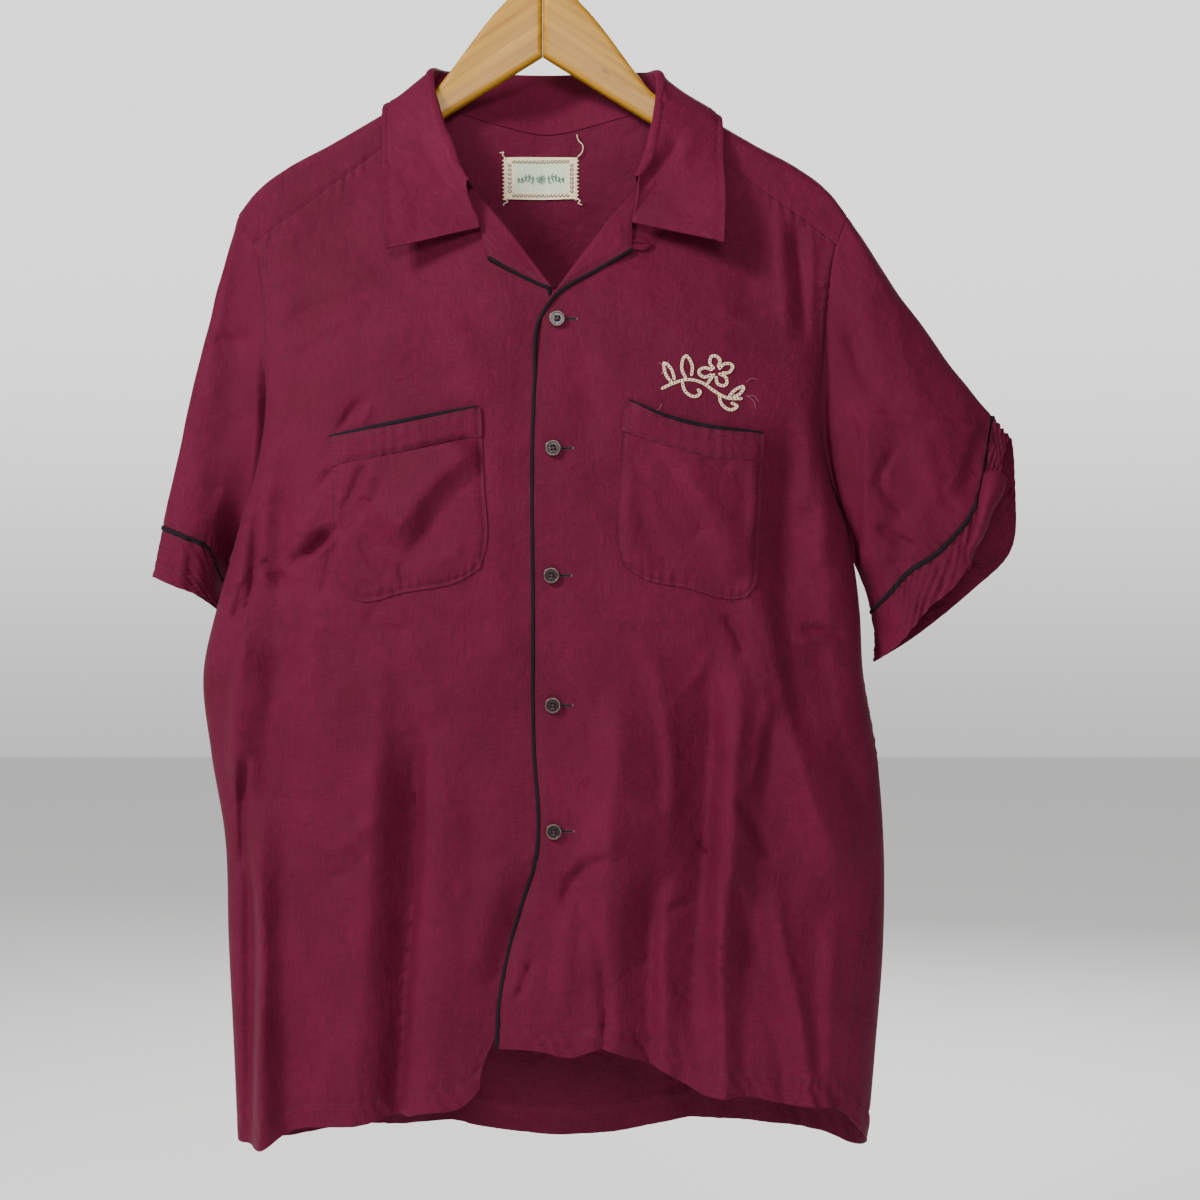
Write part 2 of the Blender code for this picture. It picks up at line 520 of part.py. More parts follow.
class Cloth:
    """Welded sheets of cloth that share normals, so that neighbours never cross at a seam."""

    def __init__(self):
        self.places = {}
        self.points = []
        self.pieces = {}

    def index(self, point):
        key = tuple(np.round(point, 6))
        if key not in self.places:
            self.places[key] = len(self.points)
            self.points.append(np.array(point, float))
        return self.places[key]

    def add(self, name, grids):
        faces = []
        for grid, flip in grids:
            ids = [[self.index(p) for p in row] for row in grid]
            for j in range(len(ids) - 1):
                for i in range(len(ids[0]) - 1):
                    quad = [ids[j][i], ids[j][i + 1], ids[j + 1][i + 1], ids[j + 1][i]]
                    for corners in (quad[:3], quad[2:] + quad[:1]):
                        faces.append(corners[::-1] if flip else corners)
        self.pieces[name] = faces

    def settle(self):
        """Outward normal of every point, from all the pieces that meet there."""
        self.points = np.array(self.points)
        self.normals = np.zeros_like(self.points)
        for faces in self.pieces.values():
            for face in faces:
                a, b, c = self.points[face]
                normal = np.cross(b - a, c - a)
                self.normals[face] += normal
        self.normals /= np.linalg.norm(self.normals, axis=1)[:, None]

    def wall(self, faces, lift=0.0, thickness=WALL, inset=SEAM / 2):
        """Closed wall on some faces, its free edges drawn in by half a seam's clearance."""
        used = sorted({v for face in faces for v in face})
        local = {v: k for k, v in enumerate(used)}
        normals = self.normals[used]
        outer = self.points[used] + normals * lift
        open_edges = {}
        for face in faces:
            for a, b in zip(face, face[1:] + face[:1]):
                if (b, a) in open_edges:
                    del open_edges[(b, a)]
                else:
                    open_edges[(a, b)] = True
        inward = np.zeros_like(outer)
        for a, b in open_edges:
            a, b = local[a], local[b]
            along = outer[b] - outer[a]
            side = np.cross(normals[a] + normals[b], along)
            side /= np.linalg.norm(side)
            inward[a] += side
            inward[b] += side
        lengths = np.linalg.norm(inward, axis=1)
        moved = lengths > 1e-9
        square = inward[moved] / lengths[moved][:, None]
        reach = np.minimum(2 / np.maximum(lengths[moved], 0.8), 2)
        outer[moved] += square * inset * reach[:, None]
        inner = outer - normals * thickness
        count = len(used)
        solid = [[local[v] for v in face] for face in faces]
        solid += [[local[v] + count for v in face[::-1]] for face in faces]
        for a, b in open_edges:
            a, b = local[a], local[b]
            solid.append([b, a, a + count, b + count])
        return np.concatenate([outer, inner]), solid


def clear_scene():
    for old in list(bpy.data.objects):
        bpy.data.objects.remove(old, do_unlink=True)


def collection(name):
    made = bpy.data.collections.new(name)
    bpy.context.scene.collection.children.link(made)
    return made


def finish(name, color, roughness, metallic=0.0):
    material = bpy.data.materials.new(name)
    material.use_nodes = True
    shader = material.node_tree.nodes["Principled BSDF"]
    shader.inputs["Base Color"].default_value = color
    shader.inputs["Roughness"].default_value = roughness
    shader.inputs["Metallic"].default_value = metallic
    return material


def add_object(name, points, faces, color, roughness=0.85, metallic=0.0):
    mesh = bpy.data.meshes.new(name)
    mesh.from_pydata([tuple(map(float, p)) for p in points], [], faces)
    mesh.update()
    made = bpy.data.objects.new(name, mesh)
    SHIRT.objects.link(made)
    mesh.materials.append(finish(name, color, roughness, metallic))
    return made


def prism(name, outline, y_front, y_back):
    """Cutter: a flat outline in x and z, extruded from front to back."""
    mesh = bmesh.new()
    base = mesh.faces.new([mesh.verts.new((x, y_front, z)) for x, z in outline])
    pushed = bmesh.ops.extrude_face_region(mesh, geom=[base])["geom"]
    corners = [v for v in pushed if isinstance(v, bmesh.types.BMVert)]
    bmesh.ops.translate(mesh, verts=corners, vec=(0, y_back - y_front, 0))
    bmesh.ops.recalc_face_normals(mesh, faces=mesh.faces)
    data = bpy.data.meshes.new(name)
    mesh.to_mesh(data)
    mesh.free()
    cutter = bpy.data.objects.new(name, data)
    CUTTERS.objects.link(cutter)
    cutter.hide_render = True
    cutter.display_type = "WIRE"
    return cutter


def laid_on(name, cloth, base, outline, lift, color, thickness=WALL):
    """A piece cut from the base's own facets, moved out, inside a flat outline."""
    low, high = np.min(outline, axis=0), np.max(outline, axis=0)
    faces = []
    for face in cloth.pieces[base]:
        corner = cloth.points[face][:, [0, 2]]
        if np.all(corner.max(axis=0) > low - 0.004) and np.all(corner.min(axis=0) < high + 0.004):
            faces.append(face)
    points, solid = cloth.wall(faces, lift, thickness)
    piece = add_object(name, points, solid, color)
    cut = piece.modifiers.new("outline", "BOOLEAN")
    cut.operation = "INTERSECT"
    cut.object = prism(name + "_outline", outline, -0.2, 0.2)
    return piece


def beside(line, distance):
    """A line moved sideways, to its left as it runs."""
    line = np.array(line, float)
    along = np.gradient(line, axis=0)
    along /= np.linalg.norm(along, axis=1)[:, None]
    return line + np.stack([-along[:, 1], along[:, 0]], axis=-1) * distance


def cord(name, points, radius, color, roughness=0.6, metallic=0.0):
    curve = bpy.data.curves.new(name, "CURVE")
    curve.dimensions = "3D"
    curve.bevel_depth = radius
    curve.bevel_resolution = 2
    curve.use_fill_caps = True
    spline = curve.splines.new("POLY")
    spline.points.add(len(points) - 1)
    for point, place in zip(spline.points, points):
        point.co = (*map(float, place), 1)
    made = bpy.data.objects.new(name, curve)
    SHIRT.objects.link(made)
    curve.materials.append(finish(name, color, roughness, metallic))
    return made


def build_cloth():
    fronts = {"left": front_grid("left", HEM_LEFT, EDGE_LEFT, left_front_y),
              "right": front_grid("right", HEM_RIGHT, EDGE_RIGHT, front_y)}
    back = back_grid()
    yoke = yoke_grids(fronts, back)
    cloth = Cloth()
    cloth.add("front_left", [(fronts["left"], False)])
    cloth.add("front_right", [(fronts["right"], True)])
    cloth.add("back", [(back, True)])
    cloth.add("yoke", [(yoke["back"], False), (yoke["left"], False), (yoke["right"], True)])
    for side in ("left", "right"):
        grids = sleeve_grids(side, fronts, back, yoke)
        for name, grid in zip(("sleeve_", "piping_cuff_", "cuff_"), grids):
            cloth.add(name + side, [(grid, side == "right")])
    cloth.add("collar", [(collar_grid(fronts, yoke), True)])
    cloth.settle()
    for name, faces in cloth.pieces.items():
        points, solid = cloth.wall(faces)
        add_object(name, points, solid, PIPED if "piping" in name else CLOTH)
    return cloth


def build_trim(cloth):
    first = WALL + SEAM
    laid_on("lapel_left", cloth, "front_left", LAPEL_LEFT, first, CLOTH)
    laid_on("lapel_right", cloth, "front_right", LAPEL_RIGHT, first, CLOTH)
    laid_on("loop_tab", cloth, "front_right", [(x + SEAM, z) for x, z in TAB], first, CLOTH)
    for side in ("left", "right"):
        base = "front_" + side
        shape = POCKETS[side]
        sides = shape["sides"]
        band = shape["band"]
        below = beside(band, -SEAM)
        laid_on("pocket_" + side, cloth, base, [tuple(p) for p in below[::-1]] + sides, first, CLOTH)
        laid_on("pocket_band_" + side, cloth, base, shape["top"][::-1] + band, first, CLOTH)
        low, high = beside(shape["top"], SEAM), beside(shape["top"], SEAM + PIPING)
        strip = [tuple(p) for p in low] + [tuple(p) for p in high[::-1]]
        laid_on("piping_pocket_" + side, cloth, base, strip, first, PIPED)
    lapels = (("left", LAPEL_LEFT, (2, 4), -1), ("right", LAPEL_RIGHT, (2, 6), 1))
    for side, outline, ends, way in lapels:
        edge = outline[ends[0]:ends[1]]
        low, high = beside(edge, way * SEAM), beside(edge, way * (SEAM + PIPING))
        strip = [tuple(p) for p in low] + [tuple(p) for p in high[::-1]]
        laid_on("piping_lapel_" + side, cloth, "front_" + side, strip, first, PIPED)
    laid_on("neck_label", cloth, "yoke", NECK_LABEL, -first, LABEL, 0.001)

    z = np.linspace(EDGE_RIGHT["z"][-1] - 0.002, HEM_RIGHT["z"][0] + 0.001, PIPING_STEPS)
    x = through(EDGE_RIGHT["z"], EDGE_RIGHT["x"], z)
    y = front_y(x, z) + WALL / 2
    cord("piping_front", np.stack([x - PIPING_RADIUS - 3 * SEAM, y, z], -1), PIPING_RADIUS, PIPED)


def build_buttons():
    """Dished four-hole buttons, each its own object on one shared mesh."""
    mesh = bmesh.new()
    bmesh.ops.create_cone(mesh, cap_ends=True, segments=20, radius1=BUTTON_RADIUS,
                          radius2=BUTTON_RADIUS, depth=BUTTON_THICKNESS)
    face = max(mesh.faces, key=lambda f: f.calc_center_median().z)
    bmesh.ops.inset_region(mesh, faces=[face], thickness=0.0010, depth=0.0)
    bmesh.ops.inset_region(mesh, faces=[face], thickness=0.0006, depth=-0.0007)
    data = bpy.data.meshes.new("button")
    mesh.to_mesh(data)
    mesh.free()
    plain = bpy.data.objects.new("button_blank", data)
    CUTTERS.objects.link(plain)
    for k in range(4):
        drill = bmesh.new()
        bmesh.ops.create_cone(drill, cap_ends=True, segments=8, radius1=BUTTON_HOLE,
                              radius2=BUTTON_HOLE, depth=0.01)
        a = math.pi / 4 + k * math.pi / 2
        where = (BUTTON_HOLE_SPREAD * math.cos(a), BUTTON_HOLE_SPREAD * math.sin(a), 0)
        bmesh.ops.translate(drill, verts=drill.verts, vec=where)
        hole = bpy.data.meshes.new("button_hole")
        drill.to_mesh(hole)
        drill.free()
        cutter = bpy.data.objects.new("button_hole_%d" % k, hole)
        CUTTERS.objects.link(cutter)
        cutter.hide_render = True
        cutter.display_type = "WIRE"
        cut = plain.modifiers.new("hole", "BOOLEAN")
        cut.operation = "DIFFERENCE"
        cut.object = cutter
    bpy.context.view_layer.update()
    drilled = plain.evaluated_get(bpy.context.evaluated_depsgraph_get())
    shared = bpy.data.meshes.new_from_object(drilled)
    bpy.data.objects.remove(plain, do_unlink=True)
    shared.materials.clear()
    shared.materials.append(finish("button", HORN, 0.25))
    for number, (x, z) in enumerate(BUTTONS, 1):
        made = bpy.data.objects.new("button_%d" % number, shared)
        SHIRT.objects.link(made)
        across = np.array([x - BUTTON_RADIUS, x, x + BUTTON_RADIUS] * 2)
        heights = np.array([z - BUTTON_RADIUS] * 3 + [z + BUTTON_RADIUS] * 3)
        y = float(front_y(across, heights).min())
        made.location = (x, y - BUTTON_LIFT - BUTTON_THICKNESS / 2, z)
        made.rotation_euler = (math.pi / 2, 0, 0)


def build_hanger():
    """Two flat arms with a mitre joint, and a round wire hook."""
    def top(x):
        return float(ridge_z(x)) - WOOD_BELOW_RIDGE

    def under(x):
        return WOOD_APEX_Z - WOOD_SLOPE * x

    neck = [(SEAM / 2, WOOD_TOP_Z), (0.011, WOOD_TOP_Z - 0.0015), (0.019, WOOD_TOP_Z - 0.010),
            (0.0265, -0.0840), (0.0362, -0.0945), (0.0475, -0.1085), (0.0600, -0.1255),
            (0.0715, -0.1408), (0.0820, -0.1530)]
    arm = [(x, top(x)) for x in (0.100, 0.160, 0.188)]
    end = [(WOOD_TIP_X - 0.004, top(WOOD_TIP_X - 0.004) - 0.003),
           (WOOD_TIP_X, top(WOOD_TIP_X) - 0.010), (WOOD_TIP_X - 0.001, under(WOOD_TIP_X) + 0.005),
           (WOOD_TIP_X - 0.008, under(WOOD_TIP_X - 0.008)), (SEAM / 2, under(0))]
    half = neck + arm + end
    for side, sign in (("left", -1), ("right", 1)):
        mesh = bmesh.new()
        corners = [mesh.verts.new((sign * x, -WOOD_THICKNESS / 2, z)) for x, z in half]
        base = mesh.faces.new(corners)
        pushed = bmesh.ops.extrude_face_region(mesh, geom=[base])["geom"]
        moved = [v for v in pushed if isinstance(v, bmesh.types.BMVert)]
        bmesh.ops.translate(mesh, verts=moved, vec=(0, WOOD_THICKNESS, 0))
        rims = [e for e in mesh.edges if abs(e.verts[0].co.y - e.verts[1].co.y) < 1e-6
                and max(abs(v.co.x) for v in e.verts) > 0.001]
        bmesh.ops.bevel(mesh, geom=rims, offset=WOOD_EDGE, segments=2, affect="EDGES",
                        profile=0.5, clamp_overlap=True)
        bmesh.ops.recalc_face_normals(mesh, faces=mesh.faces)
        data = bpy.data.meshes.new("hanger_arm_" + side)
        mesh.to_mesh(data)
        mesh.free()
        made = bpy.data.objects.new("hanger_arm_" + side, data)
        SHIRT.objects.link(made)
        data.materials.append(finish("hanger_arm_" + side, WOOD, 0.5))

    radius = HOOK_INSIDE + WIRE_RADIUS
    centre = -HOOK_INSIDE
    path = [(0, 0, WOOD_TOP_Z + SEAM), (0, 0, -0.055), (0.0012, 0, -0.0495), (0.0055, 0, -0.0445)]
    for degrees in range(-50, 206, 15):
        a = math.radians(degrees)
        path.append((radius * math.cos(a), 0, centre + radius * math.sin(a)))
    cord("hanger_hook", path, WIRE_RADIUS, STEEL, 0.3, 1.0)


clear_scene()
SHIRT = collection("bowling_shirt")
CUTTERS = collection("cutters")
build_trim(build_cloth())
build_buttons()
build_hanger()
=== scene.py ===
import bpy
import math
import numpy as np
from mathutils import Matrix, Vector


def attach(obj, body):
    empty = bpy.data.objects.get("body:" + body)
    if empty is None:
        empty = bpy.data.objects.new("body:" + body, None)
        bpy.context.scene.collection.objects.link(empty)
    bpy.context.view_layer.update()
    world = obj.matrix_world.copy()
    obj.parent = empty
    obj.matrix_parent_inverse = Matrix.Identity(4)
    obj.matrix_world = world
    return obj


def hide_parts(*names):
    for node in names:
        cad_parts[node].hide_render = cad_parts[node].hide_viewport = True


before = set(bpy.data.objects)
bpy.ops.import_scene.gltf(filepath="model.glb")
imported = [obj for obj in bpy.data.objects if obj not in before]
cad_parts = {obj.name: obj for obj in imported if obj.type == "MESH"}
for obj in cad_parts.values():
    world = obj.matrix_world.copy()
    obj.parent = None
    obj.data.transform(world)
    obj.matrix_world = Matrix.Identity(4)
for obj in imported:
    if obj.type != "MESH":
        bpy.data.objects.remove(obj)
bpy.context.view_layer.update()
sides = ("left", "right")
print("frame loaded")


# tables: in tenths of a millimetre, and shares in ten-thousandths

def table(columns, *rows):
    return {name: np.array(column) / 1e4 for name, column in zip(columns.split(), zip(*rows))}


def line(*values):
    # a line's points as x and z
    return np.reshape(values, (-1, 2)) / 1e4


def creases(*rows):
    # height (troughs are negative), half-widths left and right of the line as it runs, and the line
    return [(line(*row[3:]), *(value / 1e4 for value in row[:3])) for row in rows]


# curves

def through(keys, values, at):
    # smooth curve through a table's values, level beyond its ends
    at = np.clip(at, keys[0], keys[-1])
    slopes = np.gradient(values, keys)
    i = np.clip(np.searchsorted(keys, at, side="right") - 1, 0, len(keys) - 2)
    span = keys[i + 1] - keys[i]
    t = (at - keys[i]) / span
    return (values[i] * (1 + 2 * t) * (1 - t) ** 2 + slopes[i] * span * t * (1 - t) ** 2
            + values[i + 1] * t * t * (3 - 2 * t) - slopes[i + 1] * span * t * t * (1 - t))


def curve(shape, column, at):
    # a column of a table at places along its first column
    return through(next(iter(shape.values())), shape[column], at)


def curve3(shape, name, at):
    return np.stack([curve(shape, name + k, at) for k in "xyz"], -1)


def ease(t):
    t = np.clip(t, 0.0, 1.0)
    return t * t * (3 - 2 * t)


def mix(a, b, t):
    return a * (1 - t) + b * t


def bell(distance, width):
    return np.exp(-(distance / width) ** 2)


def unit(vectors):
    return vectors / np.maximum(np.linalg.norm(vectors, axis=-1), 1e-12)[..., None]


def runAlong(points):
    return np.concatenate([[0], np.cumsum(np.linalg.norm(np.diff(points, axis=0), axis=1))])


def placesAt(at, run, points):
    return np.stack([np.interp(at, run, points[:, k]) for k in range(3)], -1)


def smoothLine(points, count):
    # even steps along a smooth curve through some points
    points = np.array(points, float)
    length = runAlong(points)
    at = np.linspace(0, length[-1], count)
    if len(points) == 2:
        return points[0] + (points[1] - points[0]) * (at / length[-1])[:, None]
    return np.stack([through(length, column, at) for column in points.T], -1)


# objects

def select(*pieces):
    bpy.ops.object.select_all(action="DESELECT")
    for piece in pieces:
        piece.select_set(True)
        bpy.context.view_layer.objects.active = pieces[0]


def editWhole(*steps):
    # mesh operators, each on all of the active piece
    bpy.ops.object.mode_set(mode="EDIT")
    for step in steps:
        bpy.ops.mesh.select_all(action="SELECT")
        step()
    bpy.ops.object.mode_set(mode="OBJECT")


def evenNormals():
    bpy.ops.mesh.normals_make_consistent(inside=False)


def applied(piece, kind, **settings):
    # a modifier, applied
    modifier = piece.modifiers.new("step", kind)
    for key, value in settings.items():
        setattr(modifier, key, value)
    bpy.ops.object.modifier_apply(modifier="step")


# materials

def linear(hexColor):
    # an sRGB hex colour as linear values
    values = [int(hexColor[k:k + 2], 16) / 255 for k in (1, 3, 5)]
    return (*(c / 12.92 if c <= 0.04045 else ((c + 0.055) / 1.055) ** 2.4 for c in values), 1.0)


class Nodes:
    # the nodes of a material, or of another owner

    def __init__(self, name, owner=None):
        self.owner = owner or bpy.data.materials.new(name)
        self.owner.use_nodes = True
        self.tree = self.owner.node_tree

    def feed(self, node, inputs):
        # values and links into a node
        for key, value in inputs.items():
            if isinstance(value, bpy.types.NodeSocket):
                self.tree.links.new(value, node.inputs[key])
            else:
                node.inputs[key].default_value = value

    def add(self, kind, inputs=None, out=0, **settings):
        node = self.tree.nodes.new("ShaderNode" + kind)
        for key, value in settings.items():
            setattr(node, key, value)
        self.feed(node, inputs or {})
        return node.outputs if out is None else node.outputs[out]

    def noise(self, vector, scale, detail, **more):
        return self.add("TexNoise", {"Vector": vector, "Scale": scale, "Detail": detail, **more})

    def stretch(self, vector, **more):
        return self.add("Mapping", {"Vector": vector, **more})

    def streaks(self, vector, *scale, detail=2.0, **more):
        return self.noise(self.stretch(vector, Scale=scale), 1.0, detail, **more)

    def remap(self, value, fromMin, fromMax, toMin, toMax, **settings):
        return self.add("MapRange", {"Value": value, "From Min": fromMin, "From Max": fromMax,
                                     "To Min": toMin, "To Max": toMax}, **settings)

    def math(self, operation, *values):
        return self.add("Math", dict(enumerate(values)), operation=operation)

    def scale(self, color, factor):
        return self.add("VectorMath", {0: color, "Scale": factor}, operation="SCALE")

    def dot(self, vector, toward):
        return self.add("VectorMath", {0: vector, 1: toward}, "Value", operation="DOT_PRODUCT")

    def bump(self, height, strength, distance, **more):
        return self.add("Bump", {"Height": height, "Strength": strength, "Distance": distance, **more})

    def ramp(self, value, *stops):
        # colours at places along a value
        color = self.add("ValToRGB", {"Fac": value})
        elements = color.node.color_ramp.elements
        while len(elements) < len(stops):
            elements.new(0.5)
        for element, (at, hexColor) in zip(elements, stops):
            element.position, element.color = at, linear(hexColor)
        return color

    def finish(self, **values):
        # the surface's inputs, with _ for each space in their names
        values = {key.replace("_", " "): value for key, value in values.items()}
        self.feed(self.tree.nodes["Principled BSDF"], values)
        return self.owner


# camera, floor and lights

view = {"place": (0.0425, -1.6, -0.528), "lens": 64.77, "sensor": 36, "floorZ": -1.30, "floorSize": 18.0}
select()
bpy.ops.object.camera_add(location=view["place"], rotation=(math.pi / 2, 0, 0))
camera = bpy.context.object
camera.data.lens = view["lens"]
camera.data.sensor_width = view["sensor"]
bpy.context.scene.camera = camera
bpy.ops.mesh.primitive_plane_add(size=view["floorSize"], location=(0, 0, view["floorZ"]))
floor = bpy.context.object
floor.name = "floor"
floor.data.materials.append(Nodes("paleFloor").finish(Base_Color=linear("#f4f4f2"), Roughness=0.9))

# the sky is brighter from the upper left, and behind the shirt it is a pale backdrop
studio = Nodes(None, bpy.data.worlds.new("paleStudio"))
bpy.context.scene.world = studio.owner
toward = studio.add("TexCoord", out="Generated")
softSide = studio.remap(studio.dot(toward, (-0.62, -0.30, 0.72)), -0.5, 1.0, 0.10, 0.62)
behind = studio.remap(studio.dot(toward, (0.0, 1.0, 0.0)), 0.55, 0.80, 0.0, 1.0)
height = studio.add("SeparateXYZ", {0: toward}, "Z")
backdrop = studio.remap(height, -0.10, 0.16, 0.72, 1.70, interpolation_type="SMOOTHSTEP")
brightness = studio.add("Mix", {0: behind, 2: softSide, 3: backdrop})
studio.feed(studio.tree.nodes["Background"], {"Strength": brightness, "Color": linear("#ffffff")})

lamps = {  # place, what it is aimed at, watts, and its size; the narrow one lights the open neck
    "keyLamp": ((-1.75, -1.60, 1.00), (0, 0, -0.5), 104, {"size": 0.6}),
    "frontLamp": ((0.20, -2.60, 0.30), (0, 0, -0.5), 36, {"size": 0.8}),
    "backLamp": ((0.6, 2.4, 0.9), (0, 0, -0.5), 60, {"size": 1.2}),
    "neckLamp": ((-0.05, -1.50, 0.10), (-0.003, 0.02, -0.185), 80,
                 {"shadow_soft_size": 0.12, "spot_size": math.radians(7), "spot_blend": 0.8}),
}
for name, (place, target, watts, settings) in lamps.items():
    bpy.ops.object.light_add(type="AREA" if "size" in settings else "SPOT", location=place)
    lamp = bpy.context.object
    lamp.name = name
    lamp.data.energy = watts
    for key, value in settings.items():
        setattr(lamp.data, key, value)
    lamp.rotation_euler = (Vector(target) - lamp.location).to_track_quat("-Z", "Y").to_euler()
print("camera and lights set")


# the shirt's form

shirt = {
    "wall": 0.0009, "under": 0.0030, "lapRamp": 0.030, "piping": 0.0026,
    "ridgeRadius": 0.011, "dropFull": 0.190, "roundness": 2.5,
    "armpitZ": -0.500, "shoulderZ": -0.243, "yokeFrontZ": -0.266, "yokeBackZ": -0.290,
    "neckBackZ": -0.180, "cuffDepth": 0.036, "collarRoll": 0.0030,
}
bodyShape = table(
    "z left right front back slot seam",
    (-9300, -2250, 2400, 640, 480, 0, 8700), (-8600, -2280, 2460, 620, 470, 0, 8800),
    (-7800, -2320, 2520, 580, 460, 0, 9200), (-7000, -2350, 2520, 560, 460, 0, 9600),
    (-6400, -2450, 2470, 560, 460, 0, 9900), (-5800, -2505, 2370, 580, 470, 0, 10000),
    (-5350, -2410, 2345, 590, 470, 0, 10000), (-5000, -2310, 2300, 600, 470, 0, 10000),
    (-4750, -2230, 2240, 600, 470, 70, 10000), (-4400, -2110, 2110, 590, 470, 150, 10000),
    (-4000, -2030, 2040, 570, 470, 200, 10000), (-3400, -2025, 2060, 520, 450, 200, 10000),
    (-3000, -2055, 2100, 460, 430, 160, 10000), (-2660, -2125, 2165, 400, 400, 130, 10000),
    (-2550, -2175, 2205, 380, 380, 110, 10000), (-2430, -2250, 2250, 360, 360, 100, 10000),
    (-1500, -2360, 2380, 320, 300, 100, 10000),
)
ridgeShape = table(
    "x z",
    (0, -980), (750, -1435), (1150, -1665), (1570, -1910), (1900, -2090), (2060, -2205), (2150, -2295),
    (2210, -2375), (2250, -2430), (2450, -2700),
)
hemShape = {
    "left": table(
        "x z",
        (-2260, -9250), (-1970, -9210), (-1870, -9140), (-1240, -9040), (-830, -8940), (-520, -8870), (-420, -8760),
    ),
    "right": table(
        "x z",
        (-300, -8480), (-20, -8500), (200, -8545), (450, -8490), (620, -8545), (830, -8625), (1020, -8730),
        (1180, -8815), (1480, -8830), (1750, -8900), (2120, -8950),
    ),
    "back": table(
        "round z",
        (0, -9250), (1200, -9320), (3500, -9260), (4400, -9350), (5000, -9260), (7000, -9290), (7500, -9340),
        (9000, -9210), (10000, -8950),
    ),
}
edgeShape = {
    "left": table(
        "z x",
        (-8900, -440), (-8640, -420), (-8360, -300), (-7930, -80), (-7450, 130), (-7000, 200), (-3600, 220),
        (-3235, 240),
    ),
    "right": table(
        "z x",
        (-8600, -300), (-8240, -290), (-7900, -240), (-7490, -133), (-7200, -35), (-6950, -4), (-6400, -32),
        (-5300, -40), (-4000, -40), (-3600, -22), (-3215, 15),
    ),
}
neckLine = {
    "left": {"ridge": -0.084, "top": (-0.086, -0.172), "middle": (-0.0715, -0.201),
             "gorge": (-0.0505, -0.2285), "roll": (-0.013, -0.2760)},
    "right": {"ridge": 0.088, "top": (0.092, -0.175), "middle": (0.083, -0.201),
              "gorge": (0.0715, -0.2265), "roll": (0.0265, -0.2830)},
}
mainFolds = {  # x foot, z foot, x head, z head, width, height
    "front": [
        (-1970, -9300, -2070, -7000, 110, 90), (-2140, -9300, -2120, -6800, 70, -120),
        (-1860, -6600, -1720, -4700, 130, -50),
    ],
    "back": [
        (-1500, -9350, -1300, -5200, 160, 80), (-700, -9350, -600, -6000, 130, 90),
        (-1100, -9350, -950, -6200, 140, -60), (100, -9350, 50, -6400, 130, -50),
        (1120, -9350, 950, -5600, 140, 90), (1700, -9350, 1600, -6000, 140, -50),
    ],
}


def body(column, z):
    return curve(bodyShape, column, z)


def ridgeZ(x):
    return curve(ridgeShape, "z", np.abs(x))


def asideOf(x, z):
    # how far out a point lies, from 0 at the middle to 1 at the side
    left, right = body("left", z), body("right", z)
    return np.minimum(np.round(np.abs(x - (left + right) / 2) / ((right - left) / 2), 6), 1.0)


def acrossBody(z, share):
    # x at a share of the half-width, from -1 at the left side to 1 at the right
    left, right = body("left", z), body("right", z)
    return (left + right) / 2 + (right - left) / 2 * share


def roundShare(turn):
    # share of the half-width at a turn about the body's rounded section
    return -np.sign(np.cos(turn)) * np.abs(np.cos(turn)) ** (2 / shirt["roundness"])


def baseY(side, x, z):
    # outer surface of the body before its small creases
    aside = asideOf(x, z)
    rounded = (1 - aside ** shirt["roundness"]) ** (1 / shirt["roundness"])
    radius = shirt["ridgeRadius"]
    drop = np.maximum(ridgeZ(x) - z, 0.0)
    overArm = radius * np.sqrt(1 - (1 - np.minimum(drop / radius, 1.0)) ** 2)
    reach = overArm + (body(side, z) - radius) * ease(drop / shirt["dropFull"])
    slot = np.clip(body("slot", z), 0.0, reach)
    folds = 0.0
    for xFoot, zFoot, xHead, zHead, width, crest in np.array(mainFolds[side]) / 1e4:
        up = (z - zFoot) / (zHead - zFoot)
        middle = xFoot + (xHead - xFoot) * np.clip(up, 0.0, 1.0)
        folds = folds + crest * bell(x - middle, width) * ease((1 - up) / 0.30)
    out = slot + (reach - slot) * rounded + folds * ease((1 - aside) / 0.10)
    return -out if side == "front" else out


# creases, placed one by one

